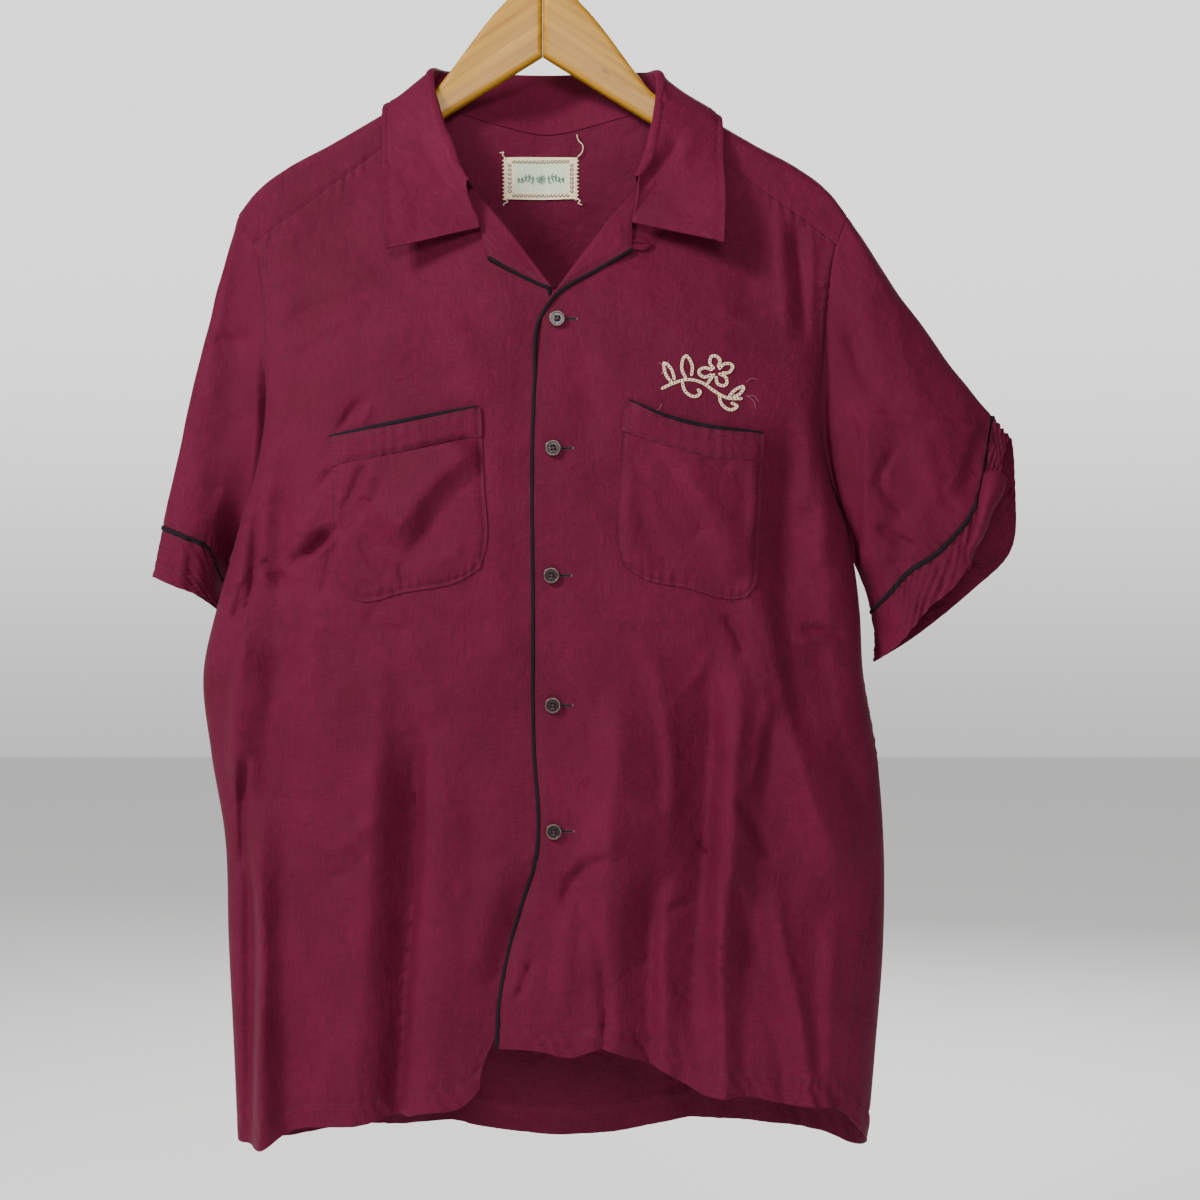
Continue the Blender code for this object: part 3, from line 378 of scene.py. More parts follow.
bodyCreases = {
    "front": creases(
        (130, 170, 60, -2065, -6711, -2065, -7162, -2001, -7455, -1972, -7849, -1993, -8314, -2122, -9788),
        (-70, 30, 26, -2129, -6368, -2172, -6604, -2187, -6890, -2187, -7255),
        (95, 130, 50, -2108, -5466, -2194, -5910, -2230, -6246, -2237, -6711),
        (-30, 100, 100, -1793, -5566, -1936, -5924, -2022, -6425, -1993, -6926),
        (28, 90, 120, -1156, -5423, -1149, -6425, -1163, -7427, -1221, -9788),
        (-170, 44, 160, -834, -5996, -892, -6410, -906, -6933, -927, -7391, -963, -7849, -992, -8314, -1092, -9859),
        (-22, 120, 80, -505, -6425, -477, -6997, -519, -7641, -634, -9573),
        (26, 120, 90, -634, -5996, -691, -6711, -748, -7427, -834, -9788),
        (18, 60, 50, -1178, -6825, -1349, -6983, -1507, -7140),
        (-12, 35, 35, -1249, -7069, -1392, -7226, -1535, -7312),
        (-12, 40, 50, -155, -7012, -384, -7198, -612, -7405), (-40, 80, 120, -62, -7198, -205, -7641, -333, -8142),
        (24, 120, 100, -1721, -7427, -1664, -7999, -1593, -8500, -1550, -9859),
        (16, 40, 30, -441, -7198, -527, -7312, -598, -7441),
        (-80, 18, 46, -2079, -4565, -2094, -4851, -2108, -5137, -2151, -5323, -2230, -5480),
        (-50, 30, 34, -2194, -5137, -2222, -5294, -2251, -5452),
        (-50, 32, 32, -2043, -4979, -1950, -5080, -1850, -5166),
        (30, 70, 30, -1993, -4565, -2008, -4851, -1993, -5208),
        (-68, 110, 130, -1850, -4350, -1893, -4994, -1950, -5566, -1993, -5996),
        (24, 80, 60, -1750, -4350, -1779, -4779, -1721, -5280),
        (20, 60, 80, -1922, -3849, -1950, -4278, -2008, -4636),
        (22, 120, 100, -1564, -5208, -1636, -5566, -1679, -5996),
        (-22, 40, 60, -1950, -3262, -1721, -3176, -1400, -3076, -1178, -3026),
        (16, 60, 50, -1836, -3455, -1507, -3277, -1221, -3176),
        (20, 120, 140, -1349, -2704, -1400, -3134, -1450, -3634),
        (-22, 120, 120, -1707, -2776, -1736, -3348, -1779, -3992),
        (16, 100, 120, -634, -3134, -505, -3563, -477, -3992),
        (-12, 60, 60, -1006, -3506, -791, -3649, -562, -3706),
        (-34, 20, 34, -1278, -3835, -1364, -3935, -1457, -4064), (16, 26, 26, -1206, -3878, -1307, -4035),
        (-60, 28, 40, -1493, -4772, -1693, -4937, -1843, -5073),
        (-34, 22, 22, -1478, -4829, -1621, -4929, -1736, -4994),
        (-24, 28, 34, -1493, -4336, -1550, -4407, -1621, -4464),
        (-40, 30, 45, -1435, -4736, -1564, -4851, -1707, -4979),
        (22, 26, 26, -1450, -4822, -1607, -4937, -1750, -5037),
        (-34, 30, 40, -1478, -4851, -1521, -5037, -1564, -5266),
        (20, 60, 60, -1564, -4565, -1664, -4708, -1779, -4822),
        (-20, 26, 30, -1149, -5309, -1221, -5409, -1264, -5480),
        (-20, 26, 30, -1249, -5459, -1120, -5487, -920, -5495),
        (12, 26, 40, -1721, -5473, -1435, -5459, -1163, -5480),
        (-10, 50, 50, -863, -5352, -505, -5437, -147, -5452), (22, 120, 100, -963, -5566, -806, -5924, -791, -6210),
        (-18, 110, 120, -255, -5566, -290, -6139, -290, -6711),
        (90, 180, 90, 568, -5924, 532, -6554, 475, -7076, 454, -7641, 396, -8070),
        (30, 100, 40, 611, -5394, 747, -5645, 854, -5996, 926, -6453, 912, -6997),
        (115, 110, 90, 1434, -5566, 1427, -6031, 1377, -6554, 1362, -7076, 1298, -7598, 1255, -8035, 1226, -9788),
        (-95, 44, 160, 1255, -5459, 1212, -5774, 1241, -6296, 1205, -6818, 1191, -7126, 1176, -7598, 1198, -7985,
         1226, -8428, 1205, -9859), (-34, 30, 30, 1312, -5366, 1412, -5538, 1470, -5724),
        (22, 26, 30, 1398, -5366, 1498, -5566, 1455, -5738), (36, 40, 60, 1656, -5924, 1548, -6453, 1498, -6711),
        (-40, 50, 44, 1412, -6639, 1513, -6868, 1670, -7183), (-30, 60, 100, 1341, -7198, 1462, -7570, 1584, -7963),
        (44, 60, 60, 1677, -7205, 1713, -7598, 1784, -7963, 1856, -8249, 2013, -9645),
        (95, 180, 100, 1584, -4994, 1620, -5387, 1699, -5774, 1806, -6167, 1913, -6604, 2056, -6997, 2328, -7391),
        (-115, 170, 130, 1784, -3849, 1792, -4350, 1770, -4851, 1763, -5352, 1827, -5924, 1942, -6496),
        (-34, 34, 30, 1856, -5509, 2028, -5495, 2228, -5538), (22, 30, 30, 1827, -5595, 2013, -5566, 2214, -5609),
        (-85, 44, 120, 1069, -7198, 883, -7283, 797, -7598, 783, -7985, 826, -9430),
        (-24, 28, 28, 869, -7555, 969, -7484, 1112, -7455), (20, 40, 40, 1026, -5938, 1126, -5824, 1226, -5638),
        (-26, 16, 20, 1141, -6983, 1183, -7054, 1226, -7126), (-36, 40, 60, 139, -7484, 296, -7198, 511, -7126),
        (26, 60, 50, 182, -7283, 353, -7083, 604, -7040),
        (-40, 30, 36, 353, -7391, 404, -7727, 461, -8113, 382, -8929),
        (-34, 26, 26, -47, -7820, -104, -7963, -169, -8156), (26, 34, 30, 296, -8371, 454, -8400, 711, -8471),
        (26, 80, 60, 225, -7427, 182, -7856, 139, -8357), (16, 60, 60, 711, -7870, 869, -8035, 969, -8214),
        (26, 60, 50, 1012, -8214, 1055, -8500, 1141, -9358), (-26, 70, 70, 1613, -8142, 1684, -8428, 1784, -9573),
        (9, 30, 40, 139, -5437, 568, -5423, 1069, -5423), (18, 140, 120, 225, -5566, 368, -6139, 353, -6711),
        (30, 80, 80, 2114, -7427, 2085, -7999, 1985, -9716), (-26, 80, 80, 1942, -7427, 1985, -7999, 1956, -9788),
        (32, 60, 60, 1734, -2346, 1756, -2776, 1784, -3455), (-30, 50, 50, 1863, -2454, 1899, -2862, 1942, -3455),
        (26, 40, 50, 1985, -2525, 1985, -2990, 1956, -3563), (-20, 120, 120, 1498, -2346, 1527, -2847, 1513, -3348),
        (40, 80, 80, 1999, -3849, 1942, -4207, 1899, -4708), (40, 100, 80, 2114, -4350, 2042, -4708, 2013, -5137),
        (16, 60, 60, 1255, -3134, 1455, -3262, 1784, -3291), (-12, 100, 100, 253, -3348, 311, -3706, 339, -4278),
        (10, 60, 60, 110, -4421, 425, -4350, 539, -4421), (-10, 40, 40, 139, -3649, 353, -3706, 539, -3820),
    ),
    "back": creases(
        (36, 60, 120, -1850, -5200, -1500, -6000, -1420, -7200, -1460, -9300),
        (34, 100, 50, -660, -5600, -680, -7000, -780, -9300), (-26, 80, 100, 120, -6000, 180, -7600, 220, -9300),
        (38, 50, 110, 1000, -5400, 1080, -7000, 1160, -9300),
        (32, 100, 60, 1900, -4800, 1720, -6000, 1660, -7600, 1700, -9250),
        (-36, 60, 100, -1980, -4400, -1820, -5400, -1960, -6600),
        (-36, 100, 60, 2020, -4400, 1880, -5200, 2000, -6400),
        (10, 30, 30, -1800, -5480, -600, -5520, 600, -5470, 1800, -5510),
        (18, 120, 100, -1600, -3000, -1500, -3800, -1580, -4700),
        (18, 100, 120, 1500, -3000, 1460, -3700, 1560, -4600),
        (-12, 140, 140, -500, -3000, -440, -4000, -500, -5000), (14, 140, 120, 550, -3000, 500, -3800, 600, -5200),
        (-26, 80, 90, -1100, -6400, -1040, -7600, -1120, -9300), (22, 70, 70, 620, -6600, 660, -7800, 640, -9300),
        (24, 70, 90, -300, -7000, -260, -8000, -220, -9300), (12, 70, 90, -1700, -2100, -1200, -2350, -600, -2400),
        (12, 80, 80, 1700, -2150, 1200, -2400, 700, -2400),
    ),
}


def lineHeight(x, z, points, height, wideLeft, wideRight):
    # soft ridge or trough along one line, fading out at both ends
    path = smoothLine(points, 14)
    reach = 3.2 * max(wideLeft, wideRight)
    low, high = path.min(0) - reach, path.max(0) + reach
    near = (x > low[0]) & (x < high[0]) & (z > low[1]) & (z < high[1])
    out = np.zeros_like(x)
    if not near.any():
        return out
    px, pz = x[near], z[near]
    best = np.full(px.shape, 1e9)
    signed = np.zeros_like(px)
    run = np.zeros_like(px)
    steps = len(path) - 1
    for k in range(steps):
        a, d = path[k], path[k + 1] - path[k]
        t = np.clip(((px - a[0]) * d[0] + (pz - a[1]) * d[1]) / math.hypot(d[0], d[1]) ** 2, 0, 1)
        gx, gz = px - a[0] - d[0] * t, pz - a[1] - d[1] * t
        distance = np.hypot(gx, gz)
        closer = distance < best
        best = np.where(closer, distance, best)
        signed = np.where(closer, d[0] * gz - d[1] * gx, signed)
        run = np.where(closer, (k + t) / steps, run)
    width = np.where(signed > 0, wideLeft, wideRight)
    fade = ease(run / 0.20) * ease((1 - run) / 0.20)
    if abs(height) < 0.0045:
        out[near] = height * bell(best, width) * fade
    else:
        # a broad fold has an even slope on each side, as pressed cloth has
        left = 1 - np.sqrt((best / width / 1.9) ** 2 + 0.015)
        out[near] = 0.68 * height * (left + np.sqrt(left ** 2 + 0.01)) * fade
    return out


def creased(total, x, z, rows, share=1.0):
    for row in rows:
        total = total + lineHeight(x, z, *row) * share
    return total


rumpleWaves = np.random.default_rng(7).uniform(-1, 1, (26, 5))


def rumple(x, z, seed):
    # slow unevenness of cloth that has been worn, from waves of 25 to 110 mm
    total = 0.0
    for k, (a, b, c, d, _) in enumerate(rumpleWaves):
        length = 0.028 + 0.085 * abs(a) ** 1.5
        turn = math.pi * (0.5 + 0.32 * b) if k % 3 else math.pi * b
        along = x * math.sin(turn) + z * math.cos(turn)
        total = total + length * np.sin(2 * math.pi * along / length + 9 * c + seed * (1.7 + d))
    return total * 0.0026


def smallCreases(side, x, z):
    # all the placed creases and the unevenness of one side, outwards
    total = creased(rumple(x, z, 1.0 if side == "front" else 5.0), x, z, bodyCreases[side])
    return total * (ease((1 - asideOf(x, z)) / 0.12) * ease((ridgeZ(x) - z - 0.002) / 0.050))


def frontY(x, z):
    x, z = np.atleast_1d(np.array(x, float)), np.atleast_1d(np.array(z, float))
    return baseY("front", x, z) - smallCreases("front", x, z)


def leftFrontY(x, z):
    # the left front lies under the right one beside the edge
    lap = curve(edgeShape["right"], "x", z) - shirt["lapRamp"]
    drop = shirt["under"] * ease((x - lap) / (shirt["lapRamp"] - shirt["piping"]))
    return frontY(x, z) + drop * (1 + 1.6 * ease((-0.700 - z) / 0.120))


def backY(x, z):
    return baseY("back", x, z) + smallCreases("back", x, z)


depths = {"left": leftFrontY, "right": frontY}


def raised(xz, depth, lift=0.0):
    # x and z laid on a surface, and lifted off it towards the front
    x, z = xz[..., 0], xz[..., 1]
    return np.stack([x, depth(x.ravel(), z.ravel()).reshape(x.shape) - lift, z], -1)


def seamReach(z):
    return np.round(np.clip(body("seam", z), 0.0, 1.0), 4)


def sideSeamX(side, z):
    return acrossBody(z, seamReach(z) if side == "right" else -1.0)


# making one piece of cloth from a grid of places

def gridNormals(grid):
    return unit(np.cross(np.gradient(grid, axis=1), np.gradient(grid, axis=0)))


def runsOf(grid):
    # lengths along the grid's columns and rows from their starts
    down, across = np.zeros(grid.shape[:2]), np.zeros(grid.shape[:2])
    down[1:] = np.cumsum(np.linalg.norm(np.diff(grid, axis=0), axis=2), axis=0)
    across[:, 1:] = np.cumsum(np.linalg.norm(np.diff(grid, axis=1), axis=2), axis=1)
    return down, across


def edgeRuns(grid):
    # distances from the grid's top, bottom, left and right
    down, across = runsOf(grid)
    return down, down[-1] - down, across, across[:, -1:] - across


def gridPart(points):
    # a grid primitive whose corners are moved to their places, with its lengths as its UV map
    rows, columns = points.shape[:2]
    select()
    bpy.ops.mesh.primitive_grid_add(x_subdivisions=columns - 1, y_subdivisions=rows - 1, size=1)
    part = bpy.context.object
    part.data.vertices.foreach_set("co", points.reshape(-1))
    down, across = runsOf(points)
    flat = np.stack([across - across[:, columns // 2][:, None], down], -1).reshape(-1, 2)
    corners = np.empty(len(part.data.loops), int)
    part.data.loops.foreach_get("vertex_index", corners)
    part.data.uv_layers.active.data.foreach_set("uv", flat[corners].reshape(-1))
    return part


gathers = {  # beside each line of stitches: pitch, depth, reach from the stitches, and seed
    "frontHem": (0.0105, 0.00100, 0.009, 2.0), "frontHemStitches": (0.0070, 0.00075, 0.005, 5.0),
    "frontTop": (0.0085, 0.00060, 0.007, 1.0), "leftArmhole": (0.0075, 0.00080, 0.007, 4.0),
    "rightArmhole": (0.0075, 0.00105, 0.007, 4.0), "frontEdge": (0.0062, 0.00025, 0.005, 3.0),
    "backHem": (0.0110, 0.00090, 0.009, 2.5), "backHemStitches": (0.0080, 0.00065, 0.005, 5.0),
    "backTop": (0.0090, 0.00040, 0.008, 1.3), "leftSeam": (0.0090, 0.00075, 0.008, 0.4),
    "rightSeam": (0.0090, 0.00075, 0.008, 2.4), "yokeBack": (0.0090, 0.00040, 0.006, 1.3),
    "yokeFront": (0.0085, 0.00060, 0.006, 1.0), "sleeveEnd": (0.0085, 0.00050, 0.009, 2.2),
    "sleeveHead": (0.0090, 0.00040, 0.008, 1.2), "cuffSeam": (0.0080, 0.00085, 0.010, 3.2),
    "cuffHem": (0.0095, 0.00135, 0.013, 4.2), "cuffFolds": (0.0170, 0.00080, 0.016, 7.2),
    "collarEdge": (0.0075, 0.00080, 0.0055, 1.0), "lapelEdge": (0.0075, 0.00022, 0.0045, 6.0),
    "pocketBottom": (0.0070, 0.00065, 0.006, 4.0), "pocketSides": (0.0065, 0.00022, 0.004, 2.0),
    "leftBand": (0.0088, 0.00042, 0.007, 8.0), "rightBand": (0.0088, 0.00042, 0.007, 3.0),
    "labelEnds": (0.0034, 0.00025, 0.003, 1.0),
}


def puckers(at, distance, kind):
    # small gathers beside a line of stitches, uneven in size and spacing
    pitch, deep, reach, seed = gathers[kind]
    phase = 2 * math.pi * at / pitch + 1.9 * np.sin(at * 61 + seed) + 0.9 * np.sin(at * 143 + 2 * seed)
    size = 0.62 + 0.38 * np.sin(at * 97 + 3 * seed)
    return deep * size * np.sin(phase) * bell(distance, reach)


def moved(grid, out):
    # towards the front
    return grid - out[..., None] * (0, 1, 0)


def pushed(grid, out):
    # along the normals, outwards from the back
    normal = gridNormals(grid)
    return grid + normal * (out * np.sign(normal[grid.shape[0] // 2, grid.shape[1] // 2, 1]))[..., None]


def joined(parts):
    select(*parts)
    if len(parts) > 1:
        bpy.ops.object.join()
    return bpy.context.object


def closeSeams():
    editWhole(lambda: bpy.ops.mesh.remove_doubles(threshold=0.00002), evenNormals)


def finishPiece(piece, name, material, node=None, angle=65):
    select(piece)
    bpy.ops.object.shade_smooth_by_angle(angle=math.radians(angle))
    piece.name = piece.data.name = name
    piece.location = (0, 0, 0)
    piece.data.materials.clear()
    piece.data.materials.append(material)
    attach(piece, "root")
    if node:
        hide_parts(node)


def clothPiece(node, grids, wall=shirt["wall"], outwards=(0, -1, 0), join=False, name=None, material=None):
    # one sewn piece: its grids joined, and given a wall inwards
    name = name or node + "_cloth"
    piece = joined([gridPart(points) for points in grids])
    if join or len(grids) > 1:
        closeSeams()
    middle = Vector(grids[0][grids[0].shape[0] // 2, grids[0].shape[1] // 2])
    nearest = min(piece.data.polygons, key=lambda p: (p.center - middle).length_squared)
    if np.array(nearest.normal) @ np.array(outwards, float) < 0:
        editWhole(bpy.ops.mesh.flip_normals)
    applied(piece, "SOLIDIFY", thickness=wall, offset=-1, use_quality_normals=True)
    finishPiece(piece, name, material or burgundy, node)
    down, across = runsOf(grids[0])
    area = sum(np.linalg.norm(np.cross(g[1:, :-1] - g[:-1, :-1], g[:-1, 1:] - g[:-1, :-1]), axis=2).sum()
               for g in grids)
    print("  %s: %.3f by %.3f m, %.4f m2" % (name, across.max(), down.max(), area))


def tubeGrid(path, wide, proud, count):
    # rings round a path, closed at both ends
    path = np.array(path, float)
    along = unit(np.gradient(path, axis=0))
    side = unit(np.cross(along, (0.0, -1.0, 0.0)))
    turn = np.linspace(0, 2 * math.pi, count + 1)[:, None]
    rings = (path[:, None] + side[:, None] * (np.cos(turn) * wide)
             + np.cross(side, along)[:, None] * (np.sin(turn) * proud))
    first, last = (np.repeat(end[:, None], count + 1, 1) for end in (path[:1], path[-1:]))
    return np.concatenate([first, rings, last])


def tubePiece(name, paths, wide, proud, node=None, material=None, count=10):
    piece = joined([gridPart(tubeGrid(path, wide, proud, count)) for path in paths])
    closeSeams()
    finishPiece(piece, name, material or pipingSatin, node, 60)


def coons(top, bottom, left, right, rows, columns):
    # a patch between four lines: top and bottom run to the right, the sides run down
    top, bottom = smoothLine(top, columns), smoothLine(bottom, columns)
    left, right = smoothLine(left, rows), smoothLine(right, rows)
    u = np.linspace(0, 1, columns)[None, :, None]
    v = np.linspace(0, 1, rows)[:, None, None]
    corners = mix(mix(top[0], top[-1], u), mix(bottom[0], bottom[-1], u), v)
    return mix(left[:, None], right[:, None], u) + top[None] * (1 - v) + bottom[None] * v - corners


# cloth: plain-woven rayon and cotton, piece-dyed burgundy and washed soft

def clothMaterial(name, colors, threadMm, sheen):
    nodes = Nodes(name)
    place, cloth = nodes.add("TexCoord", out="Object"), nodes.add("UVMap")
    # slow fading from wear and washing, patches of 30 to 90 mm
    tone = nodes.ramp(nodes.noise(place, 16.0, 3.0, Roughness=0.55), *zip((0.25, 0.50, 0.75), colors))
    # slubs: thicker threads across the cloth, 0.6 by 14 mm, drawn wide enough to show
    threads = nodes.math("ADD", nodes.streaks(cloth, 70.0, 1500.0, 1.0), nodes.streaks(cloth, 1300.0, 60.0, 1.0))
    # weave: the real threads are 0.2 mm, drawn at threadMm so that they show
    turns = 2 * math.pi / (threadMm / 1000)
    weave = nodes.add("SeparateXYZ", {0: nodes.stretch(cloth, Scale=(turns, turns, 1.0))}, None)
    cross = nodes.math("MULTIPLY", *(nodes.math("SINE", weave[k]) for k in (0, 1)))
    normal = nodes.bump(threads, 0.35, 0.0004, Normal=nodes.bump(cross, 0.25, 0.0002))
    # fine wrinkles of 4 to 12 mm
    normal = nodes.bump(nodes.noise(place, 75.0, 3.0, Roughness=0.6, Distortion=0.4), 0.80, 0.0022, Normal=normal)
    return nodes.finish(Base_Color=nodes.scale(tone, nodes.remap(threads, 0.75, 1.25, 0.80, 1.20)), Normal=normal,
                        Roughness=0.72, IOR=1.45, Specular_IOR_Level=0.14, Sheen_Weight=sheen,
                        Sheen_Roughness=0.45, Sheen_Tint=linear("#c86a82"))


burgundy = clothMaterial("burgundyRayonCotton", ("#4a0820", "#4f0924", "#540b28"), 0.55, 0.04)
pipingSatin = clothMaterial("darkPipingSatin", ("#0b070c", "#100b12", "#161018"), 0.5, 0.06)
print("cloth materials made")


# the fronts

frontLayout = {"rowsBelow": 150, "rowsArm": 120, "columns": 112}
acrossKeys = np.array([0, 80, 350, 900, 1800, 3000, 4300, 5700, 7100, 8600, 10000]) / 1e4


def frontGrid(side):
    below, armRows, columns = frontLayout.values()
    edge, hem, neck, armpit = edgeShape[side], hemShape[side], neckLine[side], shirt["armpitZ"]
    even = np.linspace(0, 1, columns + 1)
    across = through(np.linspace(0, 1, len(acrossKeys)), acrossKeys, even)

    def xAt(u, z):
        return mix(sideSeamX(side, z), curve(edge, "x", z), u)

    zHem = np.full(len(across), hem["z"].mean())
    for _ in range(6):
        zHem = curve(hem, "z", xAt(across, zHem))
    zHem = zHem + (hemShape["back"]["z"][0 if side == "left" else -1] - zHem[0]) * ease(1 - across / 0.02)
    rows = []
    for j in range(below):
        z = zHem + (armpit - zHem) * j / below
        rows.append(np.stack([xAt(across, z), z], -1))
    # the inner edge from the armpit's level up the roll line and the neck seam
    part = armRows // 10
    z = np.linspace(armpit, edge["z"][-1], part * 4 + 1)
    start = np.stack([curve(edge, "x", z), z], -1)
    roll = smoothLine([start[-1], neck["roll"], neck["gorge"]], part * 3 + 1)
    seam = smoothLine([neck["gorge"], neck["middle"], neck["top"]], part * 3 + 1)
    inner = np.concatenate([start, roll[1:], seam[1:]])
    armZ = np.linspace(armpit, shirt["yokeFrontZ"], armRows + 1)
    arm = np.stack([sideSeamX(side, armZ), armZ], -1)
    bottom = np.stack([xAt(across, armpit), np.full(len(across), armpit)], -1)
    top = mix(arm[-1], inner[-1], even[:, None])
    for j in range(armRows + 1):
        v = j / armRows
        u = mix(across, even, v)[:, None]
        corners = mix(mix(arm[0], inner[0], u), mix(arm[-1], inner[-1], u), v)
        rows.append(mix(arm[j], inner[j], u) + mix(bottom, top, v) - corners)
    return raised(np.array(rows), depths[side])


def sewnFront(grid, side):
    # gathers and dips at the hem, the yoke, the armhole and the front edge
    up, fromTop, fromSide, fromEdge = edgeRuns(grid)
    x, z = grid[..., 0], grid[..., 2]
    out = puckers(x + 0.6 * up, np.maximum(up - 0.010, 0), "frontHem")
    out += puckers(x, up - 0.0165, "frontHemStitches") - 0.0009 * bell(up - 0.0170, 0.0015)
    out += puckers(x, fromTop, "frontTop") - 0.0008 * bell(fromTop, 0.0012)
    armed = ease((z - shirt["armpitZ"] + 0.005) / 0.010)
    out += armed * puckers(z, fromSide - 0.002, side + "Armhole")
    out -= armed * 0.0009 * bell(fromSide, 0.0014)
    out += puckers(z, fromEdge - 0.003, "frontEdge")
    return moved(grid, out)


fronts = {side: frontGrid(side) for side in sides}
sewnFronts = {side: sewnFront(fronts[side], side) for side in sides}
for side in sides:
    clothPiece("front_" + side, [sewnFronts[side]])
print("fronts made")


# the back, round from one side seam to the other

def backGrid(rows=190, columns=190):
    around = np.linspace(0, 1, columns + 1)
    zHem = curve(hemShape["back"], "z", around)
    grid = []
    for j in range(rows + 1):
        z = zHem + (shirt["yokeBackZ"] - zHem) * j / rows
        turn = (math.pi + np.arccos(seamReach(z) ** (shirt["roundness"] / 2))) * around
        x = acrossBody(z, roundShare(turn))
        grid.append(np.stack([x, np.where(turn > math.pi + 1e-5, frontY(x, z), backY(x, z)), z], -1))
    return np.array(grid)


def sewnBack(grid):
    up, fromTop, fromLeft, fromRight = edgeRuns(grid)
    x, z = grid[..., 0], grid[..., 2]
    out = puckers(x + 0.5 * up, np.maximum(up - 0.012, 0), "backHem")
    out += puckers(x, up - 0.0190, "backHemStitches") - 0.0009 * bell(up - 0.0200, 0.0018)
    out += puckers(x, fromTop, "backTop") - 0.0009 * bell(fromTop, 0.0015)
    for fromSide, kind in ((fromLeft, "leftSeam"), (fromRight, "rightSeam")):
        out += puckers(z, fromSide - 0.003, kind) * ease(fromSide / 0.003)
    return pushed(grid, out)


back = sewnBack(backGrid())
clothPiece("back", [back], outwards=(0, 1, 0))
print("back made")


# the yoke over both shoulders

yokeSteps = 6
neckEnds = [neckLine[side]["ridge"] for side in sides]
half = np.array([0.5, 1.0])
across = np.concatenate([[0, 0.004, 0.018], 0.018 + 0.982 * (np.sin(half * math.pi / 4) * math.sqrt(2))])
fall = np.concatenate([[0, 0.09, 0.29], 1 - 0.71 * (1 - half) ** 1.6])
neckHalves = [np.stack([end + (sum(neckEnds) / 2 - end) * across,
                        ridgeZ(end) + (shirt["neckBackZ"] - ridgeZ(end)) * fall], -1) for end in neckEnds]
neckPoints = np.concatenate([neckHalves[0], neckHalves[1][::-1][1:]])
neckIndex = np.linspace(0, 8, 8 * yokeSteps + 1)
neckFine = np.stack([through(np.arange(9.0), column, neckIndex) for column in neckPoints.T], -1)
ridges = {}
for side in sides:
    x = np.linspace(float(body(side, shirt["shoulderZ"])), neckLine[side]["ridge"], 10 * yokeSteps + 1)
    ridges[side] = np.stack([x, ridgeZ(x)], -1)


def yokeGrids():
    # the back part, and the two parts in front of the shoulder ridge
    top = np.concatenate([ridges["left"], neckFine[1:-1], ridges["right"][::-1]])
    z = np.full(len(top), shirt["yokeBackZ"])
    seam = np.stack([acrossBody(z, roundShare(math.pi * np.linspace(0, 1, len(top)))), z], -1)
    rows = []
    for v in np.linspace(0, 1, 49) ** 1.7:
        points = mix(top, seam, v)
        points[0, 0], points[-1, 0] = body("left", points[0, 1]), body("right", points[-1, 1])
        rows.append(points)
    grids = [raised(np.array(rows), backY)]
    for side in sides:
        ends = fronts[side][-1][[0, -1]][:, [0, 2]]
        seam = mix(ends[0], ends[1], np.linspace(0, 1, 10 * yokeSteps + 1)[:, None])
        rows = []
        for v in np.linspace(0, 1, 17) ** 1.7:
            points = mix(ridges[side], seam, v)
            points[0, 0] = body(side, points[0, 1])
            rows.append(points)
        grids.append(raised(np.array(rows), frontY))
    return grids


def sewnYoke(grid, behind):
    # the gathers match those of the piece below, so the seam stays closed
    fromBottom = edgeRuns(grid)[1]
    out = puckers(grid[..., 0], fromBottom, "yokeBack" if behind else "yokeFront")
    out -= 0.0009 * bell(fromBottom, 0.0014)
    return pushed(grid, out) if behind else moved(grid, out)


yoke = [sewnYoke(grid, k == 0) for k, grid in enumerate(yokeGrids())]
clothPiece("yoke", yoke, outwards=(0, 1, 0), join=True)
print("yoke made")


# sleeves, with piping and turned cuffs

sleeveShape = {  # where the cuff's end and the sleeve's curve lie round the sleeve
    "left": table(
        "round cuff_x cuff_y cuff_z pull_x pull_y pull_z",
        (0, -2250, 1040, -5600, -2410, 860, -5110), (800, -2220, 680, -5560, -2500, 500, -5060),
        (1800, -2320, 320, -5440, -2620, 140, -4950), (3000, -2520, 40, -5260, -2520, 0, -4620),
        (4000, -2720, -60, -5180, -2440, -60, -4000), (5000, -2890, 20, -5110, -2585, 0, -3530),
        (6000, -2900, 300, -5120, -2500, 300, -3840), (7000, -2830, 640, -5170, -2480, 600, -4280),
        (8200, -2680, 1000, -5290, -2580, 920, -4780), (9200, -2460, 1180, -5480, -2540, 1080, -5050),
        (10000, -2250, 1040, -5600, -2410, 860, -5110),
    ),
    "right": table(
        "round cuff_x cuff_y cuff_z pull_x pull_y pull_z",
        (0, 2455, 20, -5740, 2490, 40, -5340), (800, 2620, -160, -5600, 2520, -160, -5150),
        (1800, 2820, -220, -5350, 2500, -260, -4650), (3000, 3060, -240, -5120, 2560, -300, -4050),
        (4000, 3270, -200, -4700, 2680, -260, -3500), (5000, 3460, 0, -4080, 2840, 0, -3340),
        (6000, 3540, 180, -4500, 2720, 280, -3520), (7000, 3530, 260, -4880, 2580, 380, -4000),
        (8200, 3240, 280, -5200, 2500, 360, -4600), (9200, 2780, 200, -5560, 2520, 260, -5120),
        (10000, 2455, 20, -5740, 2490, 40, -5340),
    ),
}
